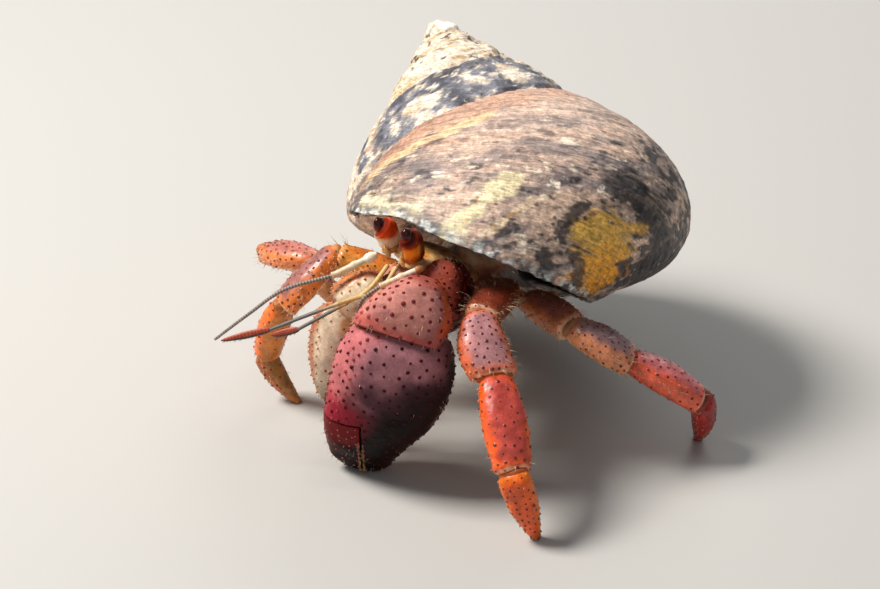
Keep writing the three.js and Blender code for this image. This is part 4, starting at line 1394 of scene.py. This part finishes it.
def build_antenna(side, root, joint, lash):
    pitch = 0.55
    points = [joint, *lash]
    length = smooth_line(points, 10)[2]

    def base_radius(s):
        return 0.55 + 0.2 * bump_at(s, 0.5, 0.06) + 0.14 * step(0.93, 1.0, s)

    def base_tint(s):
        return mix(PALE, STRAW, step(0.3, 0.9, s) * 0.5 + 0.4 * bump_at(s, 0.5, 0.03))

    def wave(s):
        return np.sin(2 * math.pi * s * length / pitch)

    def lash_radius(s):
        return 0.38 - 0.13 * s + 0.02 * wave(s)

    def lash_tint(s):
        return mix(rgb(98, 88, 82), rgb(158, 146, 132), step(-0.5, 0.5, wave(s) + 0.06))

    shape = Shape()
    share, radii, colour = KNOBS[side]
    add_ball(shape, root * (1 - share) + joint * share, joint - root, radii, colour)
    add_stick(shape, [root, root * 0.52 + joint * 0.48, joint], base_radius, base_tint)
    finish_shape(f"antenna_{side}_base_look", shape, FEELER, [f"antenna_{side}_peduncle"])
    shape = Shape()
    add_stick(shape, points, lash_radius, lash_tint, count=int(length * 14))
    dress(f"antenna_{side}_lash", shape, FEELER)


def blade_tint(t, a, p):
    rings = step(-0.3, 0.3, np.sin(2 * math.pi * t * 15))
    lower = mix(rgb(150, 52, 28), rgb(176, 76, 42), rings)
    return mix(lower, rgb(58, 44, 42), step(0.0, 0.6, np.cos(a)) * 0.9)


def build_antennule(side, points, tip):
    def radius(s):
        return 0.45 - 0.1 * s + 0.13 * sum(bump_at(s, knee, 0.02) for knee in KNEES[side])

    shape = Shape()
    add_stick(shape, points, radius, lambda s: mix(STRAW, GREY, step(0.42, 0.7, s)), flat=0.85)
    finish_shape(f"antennule_{side}_base_look", shape, FEELER, [f"antennule_{side}_peduncle"])
    blade = Plate(points[-1], tip, V(0.7, -0.5, 0.4), [1, 1.3, 0.6], [0.6, 0.7, 0.5], back=0.4)
    shape = plate_shape(blade, blade_tint, None, (90, 30), 0.02, 130)
    dress(f"antennule_{side}_lash", shape, FEELER)
    # The blade's dark comb of fine sense hairs.
    t, a = rng.uniform(0.1, 0.95, 90), rng.normal(0.0, 0.35, 90)
    length, width = rng.uniform(0.35, 0.6, 90), np.full(90, 0.07)
    add_bristles("bristles_claws", f"antennule_{side}", blade, t, a, length, width, rgb(92, 66, 54))


def build_coats():
    for name, tall in COATS.items():
        faces = [np.concatenate(kind) for kind in zip(*tall["faces"])]
        mesh = to_mesh(name, place(np.concatenate(tall["points"])), faces)
        paint(mesh, np.concatenate(tall["tints"]))
        uvs = np.concatenate(tall["uvs"])
        layer = mesh.uv_layers.new(name="OFBake")
        corner = np.empty(len(mesh.loops), np.int32)
        mesh.loops.foreach_get("vertex_index", corner)
        layer.data.foreach_set("uv", uvs[corner].astype(np.float32).ravel())
        piece(name, mesh, BRISTLE)


# Stage
# Name, place in metres, size, power and colour.
LIGHTS = [
    ("key", (-0.3, -0.33, 0.625), 0.24, 7.8, (1.0, 0.96, 0.91)),
    ("fill", (0.6, -0.35, 0.35), 0.6, 0.3, (0.92, 0.96, 1.0)),
    ("rim", (-0.35, 0.5, 0.4), 0.4, 1.5, (1.0, 0.98, 0.95)),
]
LIGHTS_AIM = Vector((0.0, 0.0, 0.025))
# The camera looks at its aim from 480 mm back along this direction.
CAMERA_AIM = Vector((0.012165, -0.017178, 0.033172))
CAMERA_BACK = Vector((0.70212, -0.54856, 0.45399))
CAMERA_DISTANCE = 0.48
FLOOR_SIZE, FLOOR_DROP = 3, 0.00002


def stand(name, data, at, way):
    """A light or camera placed at a point and looking along a direction."""
    ob = bpy.data.objects.new(name, data)
    ob.location = at
    ob.rotation_euler = way.to_track_quat("-Z", "Y").to_euler()
    bpy.context.scene.collection.objects.link(ob)
    return ob


def build_stage():
    corners = [(-1, -1), (1, -1), (1, 1), (-1, 1)]
    points = np.array([(x * FLOOR_SIZE, y * FLOOR_SIZE, -FLOOR_DROP) for x, y in corners])
    floor = bpy.data.objects.new("floor", to_mesh("floor", points, [np.array([[0, 1, 2, 3]])]))
    matt = bpy.data.materials.new("floor_paint")
    matt.use_nodes = True
    bsdf = matt.node_tree.nodes["Principled BSDF"]
    bsdf.inputs["Base Color"].default_value = (*rgb(196, 194, 190), 1)
    bsdf.inputs["Roughness"].default_value = 0.9
    floor.data.materials.append(matt)
    scene = bpy.context.scene
    scene.collection.objects.link(floor)
    world = bpy.data.worlds.new("studio")
    world.use_nodes = True
    sky = world.node_tree.nodes["Background"]
    sky.inputs["Color"].default_value = (0.9, 0.95, 1.0, 1)
    sky.inputs["Strength"].default_value = 0.2
    scene.world = world
    scene.view_settings.view_transform = "Standard"
    for name, at, size, power, colour in LIGHTS:
        lamp = bpy.data.lights.new(name, "AREA")
        lamp.size, lamp.energy, lamp.color = size, power, colour
        stand(name, lamp, at, LIGHTS_AIM - Vector(at))
    camera = bpy.data.cameras.new("camera")
    camera.lens, camera.sensor_width = 114.83, 36.0
    camera.clip_start, camera.clip_end = 0.01, 20
    eye = CAMERA_AIM + CAMERA_BACK * CAMERA_DISTANCE
    bpy.context.scene.camera = stand("camera", camera, eye, -CAMERA_BACK)


build_shell()
for leg, joints in LEGS.items():
    build_leg(leg, joints)
for name, claw in CLAWS.items():
    build_claw(name, claw)
build_trunk()
for side, eye in EYES.items():
    build_eye(side, *eye)
for side, antenna in ANTENNAE.items():
    build_antenna(side, *antenna)
for side, antennule in ANTENNULES.items():
    build_antennule(side, *antennule)
finish_shape("joint_skins", MEMBRANES, SKIN)
build_coats()
build_stage()
